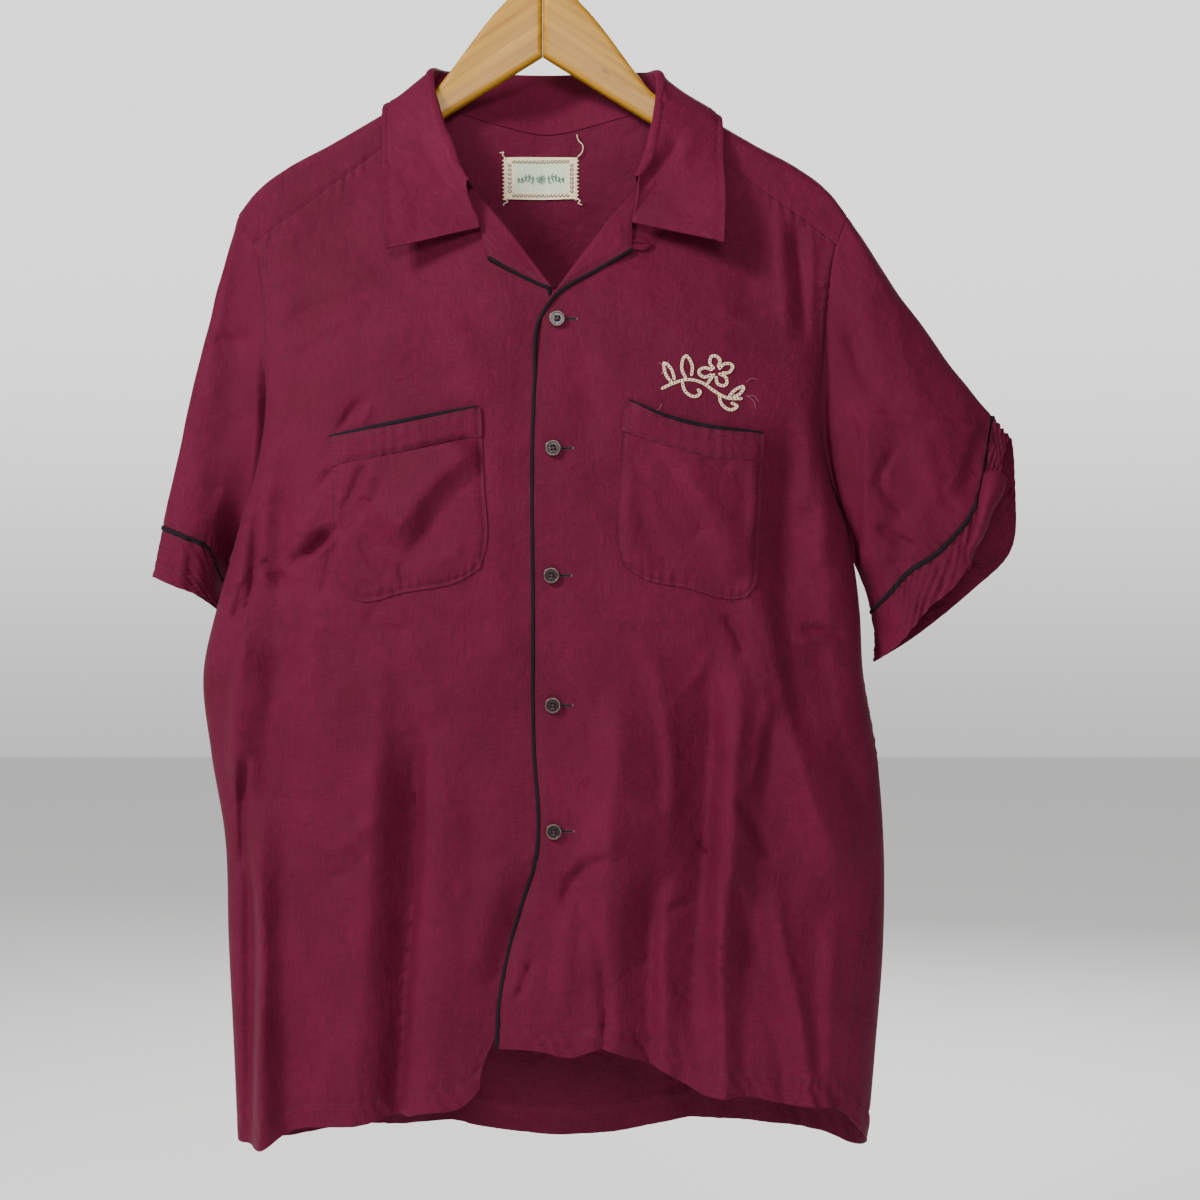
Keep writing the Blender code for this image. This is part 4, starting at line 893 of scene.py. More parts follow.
sleeveCreases = {
    "left": {
        "front": creases(
            (-16, 30, 60, -2440, -3370, -2300, -3350, -2130, -3345),
            (18, 60, 40, -2500, -3720, -2370, -3830, -2190, -3930),
            (14, 80, 60, -2450, -2750, -2420, -3300, -2480, -4000),
            (-16, 60, 80, -2280, -2600, -2260, -3200, -2300, -3900),
            (-12, 40, 60, -2700, -4300, -2560, -4420, -2340, -4460),
            (16, 50, 70, -2350, -4100, -2400, -4500, -2500, -4800),
        ),
        "back": creases(
            (26, 80, 60, -2300, -3000, -2450, -3800, -2420, -4700),
            (-22, 50, 70, -2180, -3900, -2400, -4300, -2700, -4500),
            (18, 60, 60, -2600, -4100, -2560, -4600, -2600, -5000),
        ),
    },
    "right": {
        "front": creases(
            (50, 110, 35, 2188, -3790, 2320, -3941, 2371, -4453, 2393, -5204),
            (26, 30, 70, 2260, -3962, 2686, -3941, 2920, -3985, 3400, -3985),
            (-30, 28, 50, 2598, -4135, 2481, -4453, 2554, -4548, 2706, -4707),
            (-32, 26, 45, 2439, -4723, 2600, -4830, 2757, -4910),
            (-55, 70, 90, 3400, -3950, 3257, -4263, 3132, -4592),
            (24, 70, 90, 2760, -4050, 2830, -4350, 2980, -4560),
            (18, 100, 80, 2300, -2900, 2420, -3350, 2560, -3800),
            (-20, 60, 60, 2240, -3200, 2290, -3500, 2440, -3800),
            (-14, 90, 80, 2700, -3200, 2750, -3550, 2900, -3850),
            (-18, 40, 40, 2560, -4950, 2660, -5150, 2690, -5300),
            (-14, 35, 35, 2900, -4400, 2960, -4560, 3080, -4660),
        ),
        "back": creases(
            (26, 90, 70, 2300, -3000, 2600, -3700, 2900, -4300),
            (-26, 50, 80, 2200, -4000, 2500, -4400, 3000, -4600),
            (22, 70, 60, 2300, -3600, 2450, -4300, 2550, -5100),
        ),
    },
}


def armhole(side, around):
    # the armhole's points: up the front from the armpit, over the shoulder and down the back
    shoulder, armpit, yokeFront, yokeBack = (shirt[k] for k in ("shoulderZ", "armpitZ", "yokeFrontZ", "yokeBackZ"))
    step = np.where(around <= 0.5, around * 28, (around - 0.5) * 32)
    overFront = np.interp(step, [10, 11, 12, 13, 14], [1, 0.5, 0.2, 0.05, 0])
    zFront = np.where(step <= 10, armpit + (yokeFront - armpit) * step / 10,
                      shoulder + (yokeFront - shoulder) * overFront)
    overBack = np.interp(step, [0, 1, 2, 3, 4, 5, 6], [0, 0.02, 0.08, 0.22, 0.48, 0.74, 1])
    zBack = np.where(step <= 6, shoulder + (yokeBack - shoulder) * overBack,
                     yokeBack + (armpit - yokeBack) * (step - 6) / 10)
    z = np.where(around <= 0.5, zFront, zBack)
    x = body(side, z)
    return np.stack([x, np.where(around <= 0.5, baseY("front", x, z), baseY("back", x, z)), z], -1)


def sleeveTube(side, columns=150, fineRows=121):
    around = np.linspace(0, 1, columns + 1)
    start, pull, cuff = armhole(side, around), *(curve3(sleeveShape[side], k, around) for k in ("pull_", "cuff_"))
    fine = np.linspace(0, 1, fineRows)[:, None, None]
    return start * (1 - fine) ** 2 + 2 * pull * fine * (1 - fine) + cuff * fine ** 2


def ringsAt(tube, run, lengths):
    # rings of the tube at given lengths from the armhole, one row each
    return np.array([[[np.interp(row[i], run[:, i], tube[:, i, k]) for k in range(3)]
                      for i in range(tube.shape[1])] for row in lengths])


def outwardNormals(grid):
    normal = gridNormals(grid)
    return normal if ((grid - grid.mean(1, keepdims=True)) * normal).sum() > 0 else -normal


def creasedSleeve(side, tube, run, part):
    # creases fall where they show, in front and behind, and gathers along both seams
    normal = outwardNormals(tube)
    x, z = tube[..., 0], tube[..., 2]
    facing, away = ease(-normal[..., 1] * 2.2), ease(normal[..., 1] * 2.2)
    out = rumple(x * 1.3 + tube[..., 1], z, 3.0 if side == "left" else 8.0) * 0.8
    out = creased(out, x, z, sleeveCreases[side]["front"], facing)
    out = creased(out, x, z, sleeveCreases[side]["back"], away)
    around = runsOf(tube)[1]
    if part == "sleeve":
        toCuff = run[-1] - run
        out *= ease(run / 0.020) * (1 - 0.6 * ease(1 - toCuff / 0.02))
        out += puckers(around, toCuff - 0.002, "sleeveEnd")
        out += puckers(around, run - 0.003, "sleeveHead") * ease(run / 0.003)
        out -= 0.0008 * bell(run, 0.0014) + 0.0005 * bell(toCuff, 0.0012)
        sunk = facing * ease((z + 0.520) / 0.050) * ease((-0.330 - z) / 0.080)
        out -= (0.0090 if side == "left" else 0.0030) * bell(run - 0.0065, 0.0060) * sunk
    else:
        start, end = run - run[0], run[-1] - run
        out *= 0.4
        out += puckers(around + 0.5 * start, start - 0.004, "cuffSeam")
        out += puckers(around + 0.9 * start, end - 0.006, "cuffHem")
        out += puckers(around - 0.4 * start, end - 0.018, "cuffFolds")
    return tube + normal * out[..., None]


lip = {
    "inner": line(3242, -4350, 3198, -4526, 3169, -4680, 3125, -4826, 3085, -4950, 3118, -5050),
    "outer": line(3420, -4385, 3374, -4510, 3300, -4625, 3235, -4797, 3150, -4935, 3122, -5056),
    "proud": 0.0085, "rows": 44, "columns": 15,
}


def cuffLip(cuff):
    # the upper end of the front cuff, turned outwards at its hem into a soft roll
    count = lip["rows"]
    inner, outer = smoothLine(lip["inner"], count), smoothLine(lip["outer"], count)
    flatCuff = cuff.reshape(-1, 3)
    u = np.concatenate([np.linspace(0, 1, lip["columns"]), [0.97, 0.88, 0.74]])
    rows = []
    for j in range(count):
        share = j / (count - 1)
        middle = (inner[j] + outer[j]) / 2
        near = np.hypot(flatCuff[:, 0] - middle[0], flatCuff[:, 2] - middle[1]) < 0.007
        seat = flatCuff[near, 1].min() if near.any() else flatCuff[:, 1].min()
        proud = lip["proud"] * (1 - 0.72 * share) * (0.45 + 0.55 * math.sin(min(share * 9, math.pi / 2)))
        bow = proud * np.sin(math.pi * np.minimum(u, 1) ** 0.8) ** 0.8
        bow[lip["columns"]:] = [-0.0016, -0.0030, -0.0036]
        ripple = 0.0006 * math.sin(share * 31) * np.sin(math.pi * u)
        flat = inner[j] + (outer[j] - inner[j]) * u[:, None]
        rise = 0.0034 * (1 - share) ** 6 * np.sin(math.pi * u)
        rows.append(np.stack([flat[:, 0], seat - 0.0006 - bow - ripple, flat[:, 1] + rise], -1))
    smooth = np.array(rows)
    for _ in range(6):
        smooth[1:-1, :, 1] = (smooth[:-2, :, 1] + 2 * smooth[1:-1, :, 1] + smooth[2:, :, 1]) / 4
    return smooth


bandShare = {  # the cuff's depth round the sleeve, narrower under the lip
    "left": table("round share", (0, 10000), (5000, 10000), (10000, 10000)),
    "right": table("round share", (0, 10000), (1000, 9200), (2000, 8000), (3000, 7000), (3800, 4800),
                   (4600, 4200), (5200, 5800), (6000, 9500), (7000, 10000), (10000, 10000)),
}
sleeves = {}
for side in sides:
    tube = sleeveTube(side)
    run = runsOf(tube)[0]
    whole = run[-1]
    cuffDepth = shirt["cuffDepth"] * curve(bandShare[side], "share", np.linspace(0, 1, tube.shape[1]))
    grids = sleeves[side] = {}
    for part, start, end, rows in (("sleeve", 0 * whole, whole - cuffDepth - shirt["piping"], 95),
                                   ("cuff", whole - cuffDepth, whole, 18)):
        lengths = np.array([start + (end - start) * t for t in np.linspace(0, 1, rows)])
        grids[part] = grid = creasedSleeve(side, ringsAt(tube, run, lengths), lengths, part)
        ring = grid[grid.shape[0] // 2]
        lips = [cuffLip(grid)] if (part, side) == ("cuff", "right") else []
        clothPiece(part + "_" + side, [grid, *lips], outwards=ring[len(ring) // 2] - ring.mean(0), join=True)
    above, below = grids["sleeve"][-1], grids["cuff"][0]
    rolled = (above + below) / 2
    turn = np.linspace(0, 2 * math.pi, 11)[:, None, None]
    # on the right it sinks in behind the turned-out lip
    lost = ease((rolled[:, 2] + 0.462) / 0.012) * ease((0.004 - rolled[:, 1]) / 0.010) * (side == "right")
    size = (1 - 0.85 * lost)[None, :, None]
    ring = (rolled[None] + unit(below - above)[None] * (np.cos(turn) * 0.0018) * size
            + outwardNormals(grids["cuff"])[0][None]
            * ((np.sin(turn) * 0.0012 + 0.0002) * size - 0.0006 * lost[None, :, None]))
    pipe = joined([gridPart(ring)])
    closeSeams()
    finishPiece(pipe, "piping_cuff_%s_cord" % side, pipingSatin, "piping_cuff_" + side, 60)
print("sleeves made")


# the collar: stand, roll and fall in one strip

collarShape = table(
    "round fold_x fold_y fold_z edge_x edge_y edge_z",
    (-10000, -460, -400, -2250, -1110, -520, -2765), (-8400, -610, -330, -2010, -1135, -420, -2400),
    (-6800, -730, -220, -1740, -1160, -260, -2020), (-5200, -800, 0, -1370, -1170, 10, -1620),
    (-3600, -700, 240, -1310, -1020, 450, -1880), (-1800, -380, 400, -1290, -600, 640, -2010),
    (0, 20, 450, -1290, 30, 690, -2050), (1800, 420, 400, -1290, 660, 640, -2030),
    (3600, 740, 240, -1320, 1120, 450, -1920), (5200, 840, 0, -1390, 1310, 10, -1700),
    (6800, 800, -220, -1790, 1320, -260, -2060), (8400, 750, -330, -2020, 1330, -420, -2380),
    (10000, 670, -400, -2220, 1315, -520, -2715),
)
notches = {"left": (-0.0440, -0.2590), "right": (0.0650, -0.2555)}
collarCreases = creases(
    (-32, 35, 60, 1000, -1880, 960, -2010, 860, -2130, 690, -2330),
    (14, 60, 60, 1120, -1800, 1060, -2000, 960, -2160), (-12, 70, 80, -930, -1850, -780, -2080, -620, -2320),
    (10, 50, 50, -700, -2300, -560, -2420, -450, -2500), (10, 60, 60, -1080, -2200, -980, -2450, -1000, -2700),
    (-9, 60, 60, 900, -2350, 1050, -2480, 1250, -2500),
)
collarRows = {"stand": 14, "fall": 35, "firstFall": 23}


def aboveBody(points, clearance):
    out = points.copy()
    x, y, z = points.T
    near = ridgeZ(x) - z > -clearance
    front, behind = frontY(x, z) - clearance, backY(x, z) + clearance
    out[:, 1] = np.where(near & (y < 0.002), np.minimum(y, front), y)
    out[:, 1] = np.where(near & (y >= 0.002), np.maximum(y, behind), out[:, 1])
    return out


def collarSeam(count):
    # neck seam from the left gorge round the back to the right gorge
    legs = []
    for side in sides:
        seam = smoothLine([neckLine[side][k] for k in ("gorge", "middle", "top")], 40)
        rise = np.linspace(1, 0, 14)[1:, None]
        legs.append(raised(np.concatenate([seam, mix(ridges[side][-1], seam[-1], rise)]), frontY))
    whole = np.concatenate([legs[0], raised(neckFine, backY)[1:-1], legs[1][::-1]])
    run = runAlong(whole)
    at = np.linspace(0, run[-1], count)
    return placesAt(at, run, whole), 2 * at / run[-1] - 1


def collarGrid(columns=210):
    seam, around = collarSeam(columns)
    fold, edge = (curve3(collarShape, k, around) for k in ("fold_", "edge_"))
    outward = edge - fold
    outward[:, 2] = 0
    outward = unit(outward)
    upward = np.array([[0, 0, 1]])
    rows = [seam]
    radius = (shirt["collarRoll"] * (1 - 0.72 * ease((np.abs(around) - 0.86) / 0.14)))[:, None]
    for v in np.linspace(0, 0.9, collarRows["stand"])[1:]:
        rows.append(mix(seam, fold, v))
    for degrees in range(30, 151, 15):
        a = math.radians(degrees)
        rows.append(fold + outward * radius * (1 - math.cos(a)) + radius * (math.sin(a) - 1) * upward)
    start = fold + outward * radius * 2 - radius * upward
    knee = 0.4
    for v in np.linspace(0.0, 1.0, collarRows["fall"]):
        row = mix(start, edge, v)
        for side, end in (("left", -1), ("right", 1)):
            pull = ease((end * around - 0.62) / 0.38)[:, None]
            at = 0 if end < 0 else -1
            first, last = start[at], edge[at]
            notch = np.array([notches[side][0], first[1], notches[side][1]])
            if v < knee:
                bent = first + (notch - first) * v / knee
            else:
                bent = notch + (last - notch) * (v - knee) / (1 - knee)
            row = row + pull * (bent - mix(first, last, v))
        rows.append(aboveBody(row, 0.0022))
    grid = np.array(rows)
    # both ends draw back from the neck opening along the roll
    share = np.concatenate([np.linspace(0, 1, collarRows["stand"]), np.ones(9),
                            1 - ease(np.linspace(0, 1, collarRows["fall"]) / knee)])
    drawn = 0.0062 * ease((-around - 0.78) / 0.20) - 0.0016 * ease((around - 0.86) / 0.12)
    grid[..., 0] -= share[:, None] * drawn
    return grid


def sewnCollar(grid):
    # gathers in the fall beside the stitches that run round its edge
    fall = grid[collarRows["firstFall"]:]
    fromTop, toEdge, fromStart, _ = edgeRuns(fall)
    x, z = fall[..., 0], fall[..., 2]
    out = puckers(fromStart, toEdge - 0.0045, "collarEdge")
    out -= 0.0006 * bell(toEdge - 0.0045, 0.0010)
    out += rumple(x, z, 12.0) * 0.6 * ease(toEdge / 0.01)
    out = creased(out, x, z, collarCreases, fall[..., 1] < 0.0)
    normal = gridNormals(fall)
    face = normal if normal[fall.shape[0] // 2, 12, 1] < 0 else -normal
    grid = grid.copy()
    grid[collarRows["firstFall"]:] += face * (out * ease(fromTop / 0.004))[..., None]
    return grid


collar = sewnCollar(collarGrid())
clothPiece("collar", [collar], 0.0012)
print("collar made")


# lapels, rolled over from the fronts

lapelShape = {
    "left": {
        "roll": line(-550, -2228, -130, -2760, 80, -3030),
        "top": line(-550, -2228, -500, -2420, -445, -2590),
        "outer": line(-445, -2590, -418, -2700, -385, -2795),
        "bottom": line(80, -3030, -150, -2925, -385, -2795),
    },
    "right": {
        "roll": line(745, -2228, 265, -2830, 35, -3160),
        "top": line(745, -2228, 690, -2430, 655, -2560),
        "outer": line(655, -2560, 656, -2650, 650, -2735),
        "bottom": line(35, -3160, 100, -3082, 370, -2905, 650, -2735),
    },
}


def lapelGrid(side, rows=76, columns=44):
    shape = lapelShape[side]
    flat = coons(shape["top"], shape["bottom"], shape["roll"], shape["outer"], rows, columns)
    x, z = flat[..., 0], flat[..., 1]
    _, toBottom, fromRoll, toOuter = edgeRuns(flat)
    corner = np.hypot(x - shape["outer"][-1][0], z - shape["outer"][-1][1])
    edge = np.minimum(toBottom, toOuter)
    lift = 0.0019 + 0.0012 * ease(fromRoll / 0.012) * ease(edge / 0.010) + 0.0022 * bell(corner, 0.013)
    lift = lift + puckers(x + z, edge - 0.004, "lapelEdge")
    lift = lift + rumple(x, z, 21.0) * 0.5
    face = raised(flat, depths[side], lift)
    # round the roll line and a little way back inside
    away = unit(flat[:, :1] - flat[:, 1:2])
    centreY = face[:, :1, 1] + 0.0026
    inside = flat[:, :1] - away * 0.009
    strips = [np.stack([inside[..., 0], centreY + 0.0030, inside[..., 1]], -1)]
    for degrees in (195, 170, 145, 120, 90, 60, 30):
        a = math.radians(degrees)
        place = flat[:, :1] + away * (0.0020 * math.sin(a))
        strips.append(np.stack([place[..., 0], centreY - 0.0026 * math.cos(a), place[..., 1]], -1))
    return np.concatenate([*strips, face], 1)


lapels = {side: lapelGrid(side) for side in sides}
for side in sides:
    clothPiece("lapel_" + side, [lapels[side]], 0.0008)
print("lapels made")


# piping along the front edge and the lapels

z = np.linspace(edgeShape["right"]["z"][-1] + 0.001, hemShape["right"]["z"][0] + 0.0005, 240)
x = curve(edgeShape["right"], "x", z)
frontPipe = np.stack([x - 0.0012, frontY(x, z) + 0.0006, z], -1)
lapelEdges = {}
for side in sides:
    edge = lapels[side][-1, 8:]
    flat = edge[:, [0, 2]]
    along = unit(np.gradient(flat, axis=0))
    down = np.stack([-along[:, 1], along[:, 0]], -1)
    down *= -np.sign(down[:, 1:])
    below = flat + down * 0.0011
    lapelEdges[side] = np.stack([below[:, 0], edge[:, 1] + 0.0011, below[:, 1]], -1)
wholeRight = smoothLine(np.concatenate([frontPipe[::-12][:-1], frontPipe[2:3], lapelEdges["right"][3::4]]), 420)
fold = int(np.argmin(np.abs(wholeRight[:, 2] + 0.3165)))
# the left lapel's piping runs on under the right lapel: partly the real piping, partly a dark cord that stands as
# painted shadow in the wedge between the lapels
underY = lapelEdges["left"][0, 1] + 0.0012
underRight = [(0.0035, underY, -0.3125), (0.0062, underY, -0.3085)]
wholeLeft = smoothLine(np.concatenate([underRight, lapelEdges["left"][2::4]]), 120)
for name, path, wide in (("front", wholeRight[:fold + 2], 0.0015), ("lapel_right", wholeRight[fold:], 0.0016),
                         ("lapel_left", wholeLeft, 0.0017)):
    tubePiece("piping_%s_cord" % name, [path], wide, 0.0013, "piping_" + name)
print("front piping made")


# patch pockets, their bands and their piping

pocketShape = {
    "left": {
        "top": line(-1535, -4115, -980, -4015, -430, -3900),
        "band": line(-1500, -4320, -960, -4222, -418, -4112),
        "bandLeft": line(-1535, -4115, -1518, -4230, -1500, -4320),
        "bandRight": line(-430, -3900, -420, -4010, -418, -4112),
        "leftSide": line(-1495, -4320, -1488, -4693, -1478, -5050, -1435, -5190),
        "bottom": line(-1435, -5190, -1330, -5275, -960, -5223, -550, -5130, -430, -5050),
        "rightSide": line(-418, -4112, -402, -4471, -388, -4900, -430, -5050),
        "creases": creases(
            (-44, 24, 44, -1242, -4300, -1320, -4500, -1424, -4680),
            (-50, 26, 50, -1200, -4540, -1330, -4690, -1520, -4830),
            (-14, 30, 40, -1150, -4400, -1160, -4530, -1200, -4620),
            (-40, 34, 55, -1321, -4872, -1250, -4880, -1170, -5000, -1050, -5090),
            (78, 85, 170, -400, -4150, -720, -4420, -960, -4700, -1120, -4900),
            (-22, 80, 70, -520, -4350, -740, -4560, -820, -4800, -960, -5060),
            (12, 80, 60, -520, -4900, -700, -4980, -860, -5130),
            (-16, 26, 26, -1000, -5000, -990, -5120, -960, -5180),
        ),
    },
    "right": {
        "top": line(620, -3850, 897, -3978, 1176, -4048, 1613, -4085),
        "band": line(582, -4071, 897, -4178, 1230, -4262, 1600, -4290),
        "bandLeft": line(620, -3850, 590, -3930, 582, -4071),
        "bandRight": line(1613, -4085, 1608, -4180, 1600, -4290),
        "leftSide": line(582, -4071, 561, -4507, 554, -4894, 590, -5025),
        "bottom": line(590, -5025, 700, -5110, 1040, -5194, 1370, -5273, 1470, -5262),
        "rightSide": line(1595, -4290, 1582, -4650, 1560, -4980, 1535, -5180, 1470, -5262),
        "creases": creases(
            (-44, 80, 120, 650, -4150, 820, -4330, 1000, -4560, 1180, -4880),
            (36, 120, 90, 980, -4300, 1130, -4520, 1270, -4780, 1420, -5150),
            (-20, 70, 90, 700, -4500, 780, -4800, 950, -5100), (-18, 60, 60, 1400, -4300, 1460, -4500, 1430, -4800),
            (14, 60, 80, 620, -4300, 650, -4700, 700, -4950), (-14, 30, 40, 1120, -4280, 1250, -4300, 1380, -4330),
        ),
    },
}
pocketGrids = {}
for side in sides:
    shape = pocketShape[side]
    flat = coons(*(shape[k] for k in ("band", "bottom", "leftSide", "rightSide")), 84, 80)
    _, bottom, leftRun, rightRun = edgeRuns(flat)
    ends = np.minimum(leftRun, rightRun)
    edge = np.minimum(bottom, ends)
    x, z = flat[..., 0], flat[..., 1]
    lift = 0.0012 + 0.0014 * ease(edge / 0.009) + rumple(x, z, 15.0) * 0.7 * ease(edge / 0.01)
    lift += puckers(x, bottom - 0.004, "pocketBottom")
    lift += puckers(z, ends - 0.003, "pocketSides")
    lift -= 0.0008 * bell(edge - 0.0022, 0.0010)
    lift = creased(lift, x, z, shape["creases"], ease(edge / 0.004))
    pocketGrids[side] = raised(flat, depths[side], np.maximum(lift, 0.0007))
    clothPiece("pocket_" + side, [pocketGrids[side]], 0.0007)
    flat = coons(*(shape[k] for k in ("top", "band", "bandLeft", "bandRight")), 22, 84)
    top, bottom, leftRun, rightRun = edgeRuns(flat)
    ends = np.minimum(leftRun, rightRun)
    lift = 0.0022 + 0.0011 * ease(ends / 0.012) * ease(bottom / 0.006) + 0.0004 * ease(bottom / 0.003)
    lift += puckers(flat[..., 0], np.minimum(top, bottom) - 0.003, side + "Band")
    lift -= 0.0004 * bell(ends - 0.0025, 0.0008)
    band = pocketGrids[side + "Band"] = raised(flat, depths[side], lift)
    clothPiece("pocket_band_" + side, [band], 0.0010)
    x, y, z = band[0].T
    gape = 0.0021 * np.sin(math.pi * np.linspace(0, 1, len(x))) ** 0.7
    pipe = np.stack([x, y + 0.0010, z + gape - 0.0008], -1)
    tubePiece("piping_pocket_%s_cord" % side, [pipe[1:-1]], 0.0018, 0.0009, "piping_pocket_" + side)
print("pockets made")


# loop tab under the right collar

tabShape = {
    "upper": (line(640, -2658, 760, -2655, 803, -2692), line(640, -2690, 740, -2690, 803, -2698)),
    "lower": (line(640, -2700, 740, -2701, 803, -2698), line(640, -2736, 762, -2738, 803, -2702)),
}
tabGrids = []
for top, bottom in tabShape.values():
    flat = coons(top, bottom, [top[0], bottom[0]], [top[-1], bottom[-1]], 9, 26)
    lift = 0.0016 + 0.0009 * ease(np.minimum(*edgeRuns(flat)[:2]) / 0.0014)
    tabGrids.append(raised(flat, frontY, lift))
clothPiece("loop_tab", tabGrids, 0.0010)


# buttons: dished, four holes, smoky resin, with a pale ring painted near the rim as its highlight

button = {"radius": 0.0057, "thick": 0.0027, "rim": 0.0011, "worn": 0.00045, "dish": 0.0008, "hole": 0.00085,
          "spread": 0.0015, "proud": 0.0008,
          "places": line(118, -3262, 90, -4196, 78, -5105, 88, -6032, 95, -6935)}


def buttonMaterial():
    # cast polyester resin, polished: a dark smoky centre, with a pale ring near the rim that is a painted highlight
    nodes = Nodes("smokyPolyesterButton")
    middle = nodes.add("Attribute", out="Fac", attribute_name="fromMiddle")
    swirl = nodes.noise(nodes.add("TexCoord", out="Object"), 420.0, 3.0, Distortion=1.6)
    swirled = nodes.math("MULTIPLY", nodes.math("MULTIPLY_ADD", swirl, 0.35, middle), 0.8)
    # the pale stop at 0.83 is a painted highlight on the rim, not the resin's own colour
    color = nodes.ramp(swirled, (0.24, "#080505"), (0.66, "#150c0c"), (0.76, "#2c1b1a"), (0.83, "#6e544d"),
                       (0.89, "#2a1a19"), (0.97, "#120a0a"))
    return nodes.finish(Base_Color=color, Roughness=0.30, IOR=1.52, Specular_IOR_Level=0.30, Coat_Weight=0.10,
                        Coat_Roughness=0.06)


def buttonBlank():
    # turned from its profile, then drilled
    select()
    bpy.ops.mesh.primitive_cylinder_add(vertices=48, radius=button["radius"], depth=button["thick"],
                                        end_fill_type="NGON")
    blank = bpy.context.object
    bpy.ops.object.mode_set(mode="EDIT")
    bpy.ops.mesh.select_mode(type="FACE")
    bpy.ops.mesh.select_all(action="DESELECT")
    bpy.ops.object.mode_set(mode="OBJECT")
    for face in blank.data.polygons:
        face.select = face.normal.z > 0.9
    bpy.ops.object.mode_set(mode="EDIT")
    for inset, rise in ((button["worn"], 0.0002), (button["rim"] - button["worn"], 0.0),
                        (0.0005, -button["dish"]), (0.0008, 0.0001)):
        bpy.ops.mesh.inset(thickness=inset)
        bpy.ops.transform.translate(value=(0, 0, rise))
    bpy.ops.object.mode_set(mode="OBJECT")
    for k in range(4):
        a = math.pi / 4 + k * math.pi / 2
        place = (button["spread"] * math.cos(a), button["spread"] * math.sin(a), 0)
        bpy.ops.mesh.primitive_cylinder_add(vertices=16, radius=button["hole"], depth=0.01, location=place)
        drill = bpy.context.object
        select(blank)
        applied(blank, "BOOLEAN", operation="DIFFERENCE", object=drill)
        bpy.data.objects.remove(drill, do_unlink=True)
    applied(blank, "BEVEL", width=0.00014, segments=2, limit_method="ANGLE", angle_limit=math.radians(35))
    far = blank.data.attributes.new("fromMiddle", "FLOAT", "POINT")
    far.data.foreach_set("value", [math.hypot(v.co.x, v.co.y) / button["radius"] for v in blank.data.vertices])
    return blank


buttonResin = buttonMaterial()
buttonSeats = []
blank = buttonBlank()
for number, (x, z) in enumerate(button["places"], 1):
    r = button["radius"]
    near = frontY([x - r, x, x + r, x, x], [z, z, z, z - r, z + r])
    tiltX, tiltZ = (near[3] - near[4]) / (2 * r), (near[2] - near[0]) / (2 * r)
    seat = (x, float(near.mean()) - button["proud"] - button["thick"] / 2, z)
    copy = blank.copy()
    copy.data = blank.data.copy()
    bpy.context.collection.objects.link(copy)
    copy.location = seat
    copy.rotation_euler = (math.pi / 2 + math.atan(tiltX) * 0.6, 0.12 * math.sin(number * 2.3),
                           math.atan(tiltZ) * 0.6)
    select(copy)
    bpy.ops.object.transform_apply(location=True, rotation=True, scale=True)
    finishPiece(copy, "button_%d_resin" % number, buttonResin, "button_%d" % number, 35)
    buttonSeats.append(seat)
bpy.data.objects.remove(blank, do_unlink=True)
print("buttons made")


# neck label, woven, with a plain border and a small sprig

label = {"left": -0.0295, "right": 0.0255, "top": -0.1965, "bottom": -0.2265, "lift": 0.0018}


def labelMaterial():
    # damask-woven label: cream border and pale green field, faint ribs across it
    nodes = Nodes("wovenLabel")
    cloth = nodes.add("UVMap")
    parts = nodes.add("SeparateXYZ", {0: cloth}, None)
    wide = nodes.math("DIVIDE", nodes.math("ABSOLUTE", parts[0]), 0.0222)
    tall = nodes.math("DIVIDE", nodes.math("ABSOLUTE", nodes.math("SUBTRACT", parts[1], 0.015)), 0.0122)
    color = nodes.ramp(nodes.math("MAXIMUM", wide, tall), (0.80, "#b9c4a6"), (0.90, "#c9c7a6"), (0.98, "#dcc9a4"))
    rib = nodes.streaks(cloth, 300.0, 2400.0, 1.0)
    return nodes.finish(Base_Color=nodes.scale(color, nodes.remap(rib, 0.3, 0.7, 0.86, 1.05)), Roughness=0.62,
                        Normal=nodes.bump(rib, 0.4, 0.0003), Sheen_Weight=0.15)


def threadMaterial(name, hexColor, roughness, sheen):
    # twisted sewing thread: a soft gloss broken by its twist of 0.6 mm
    nodes = Nodes(name)
    twist = nodes.noise(nodes.add("TexCoord", out="Object"), 1600.0, 1.0)
    color = nodes.scale(linear(hexColor)[:3], nodes.remap(twist, 0.3, 0.7, 0.78, 1.10))
    return nodes.finish(Base_Color=color, Normal=nodes.bump(twist, 0.4, 0.0002), Roughness=roughness,
                        Sheen_Weight=sheen)


wovenLabel = labelMaterial()
burgundyThread = threadMaterial("burgundySewingThread", "#3d0a1b", 0.75, 0.0)
creamThread = threadMaterial("creamCottonThread", "#dcc2a2", 0.55, 0.1)
brownThread = threadMaterial("greyBrownWeftThread", "#57463c", 0.6, 0.1)
greenThread = threadMaterial("greyGreenWeftThread", "#2f5f4c", 0.6, 0.1)
rosyThread = threadMaterial("fadedRosyThread", "#8f4c5e", 0.6, 0.1)
left, right, top, bottom, labelLift = label.values()
flat = coons([(left, top), (-0.0020, top + 0.0004), (right, top)],
             [(left, bottom), (-0.0020, bottom - 0.0003), (right, bottom)],
             [(left, top), (left + 0.0003, -0.2115), (left, bottom)],
             [(right, top), (right - 0.0004, -0.2115), (right, bottom)], 40, 70)
ends = np.minimum(*edgeRuns(flat)[2:])
lift = labelLift + 0.0007 * ease(ends / 0.006) + puckers(flat[..., 1], ends - 0.001, "labelEnds")
clothPiece("neck_label", [raised(flat, backY, lift)], 0.0005, name="neck_label_woven", material=wovenLabel)


# threads: one stitch, copied along its lines

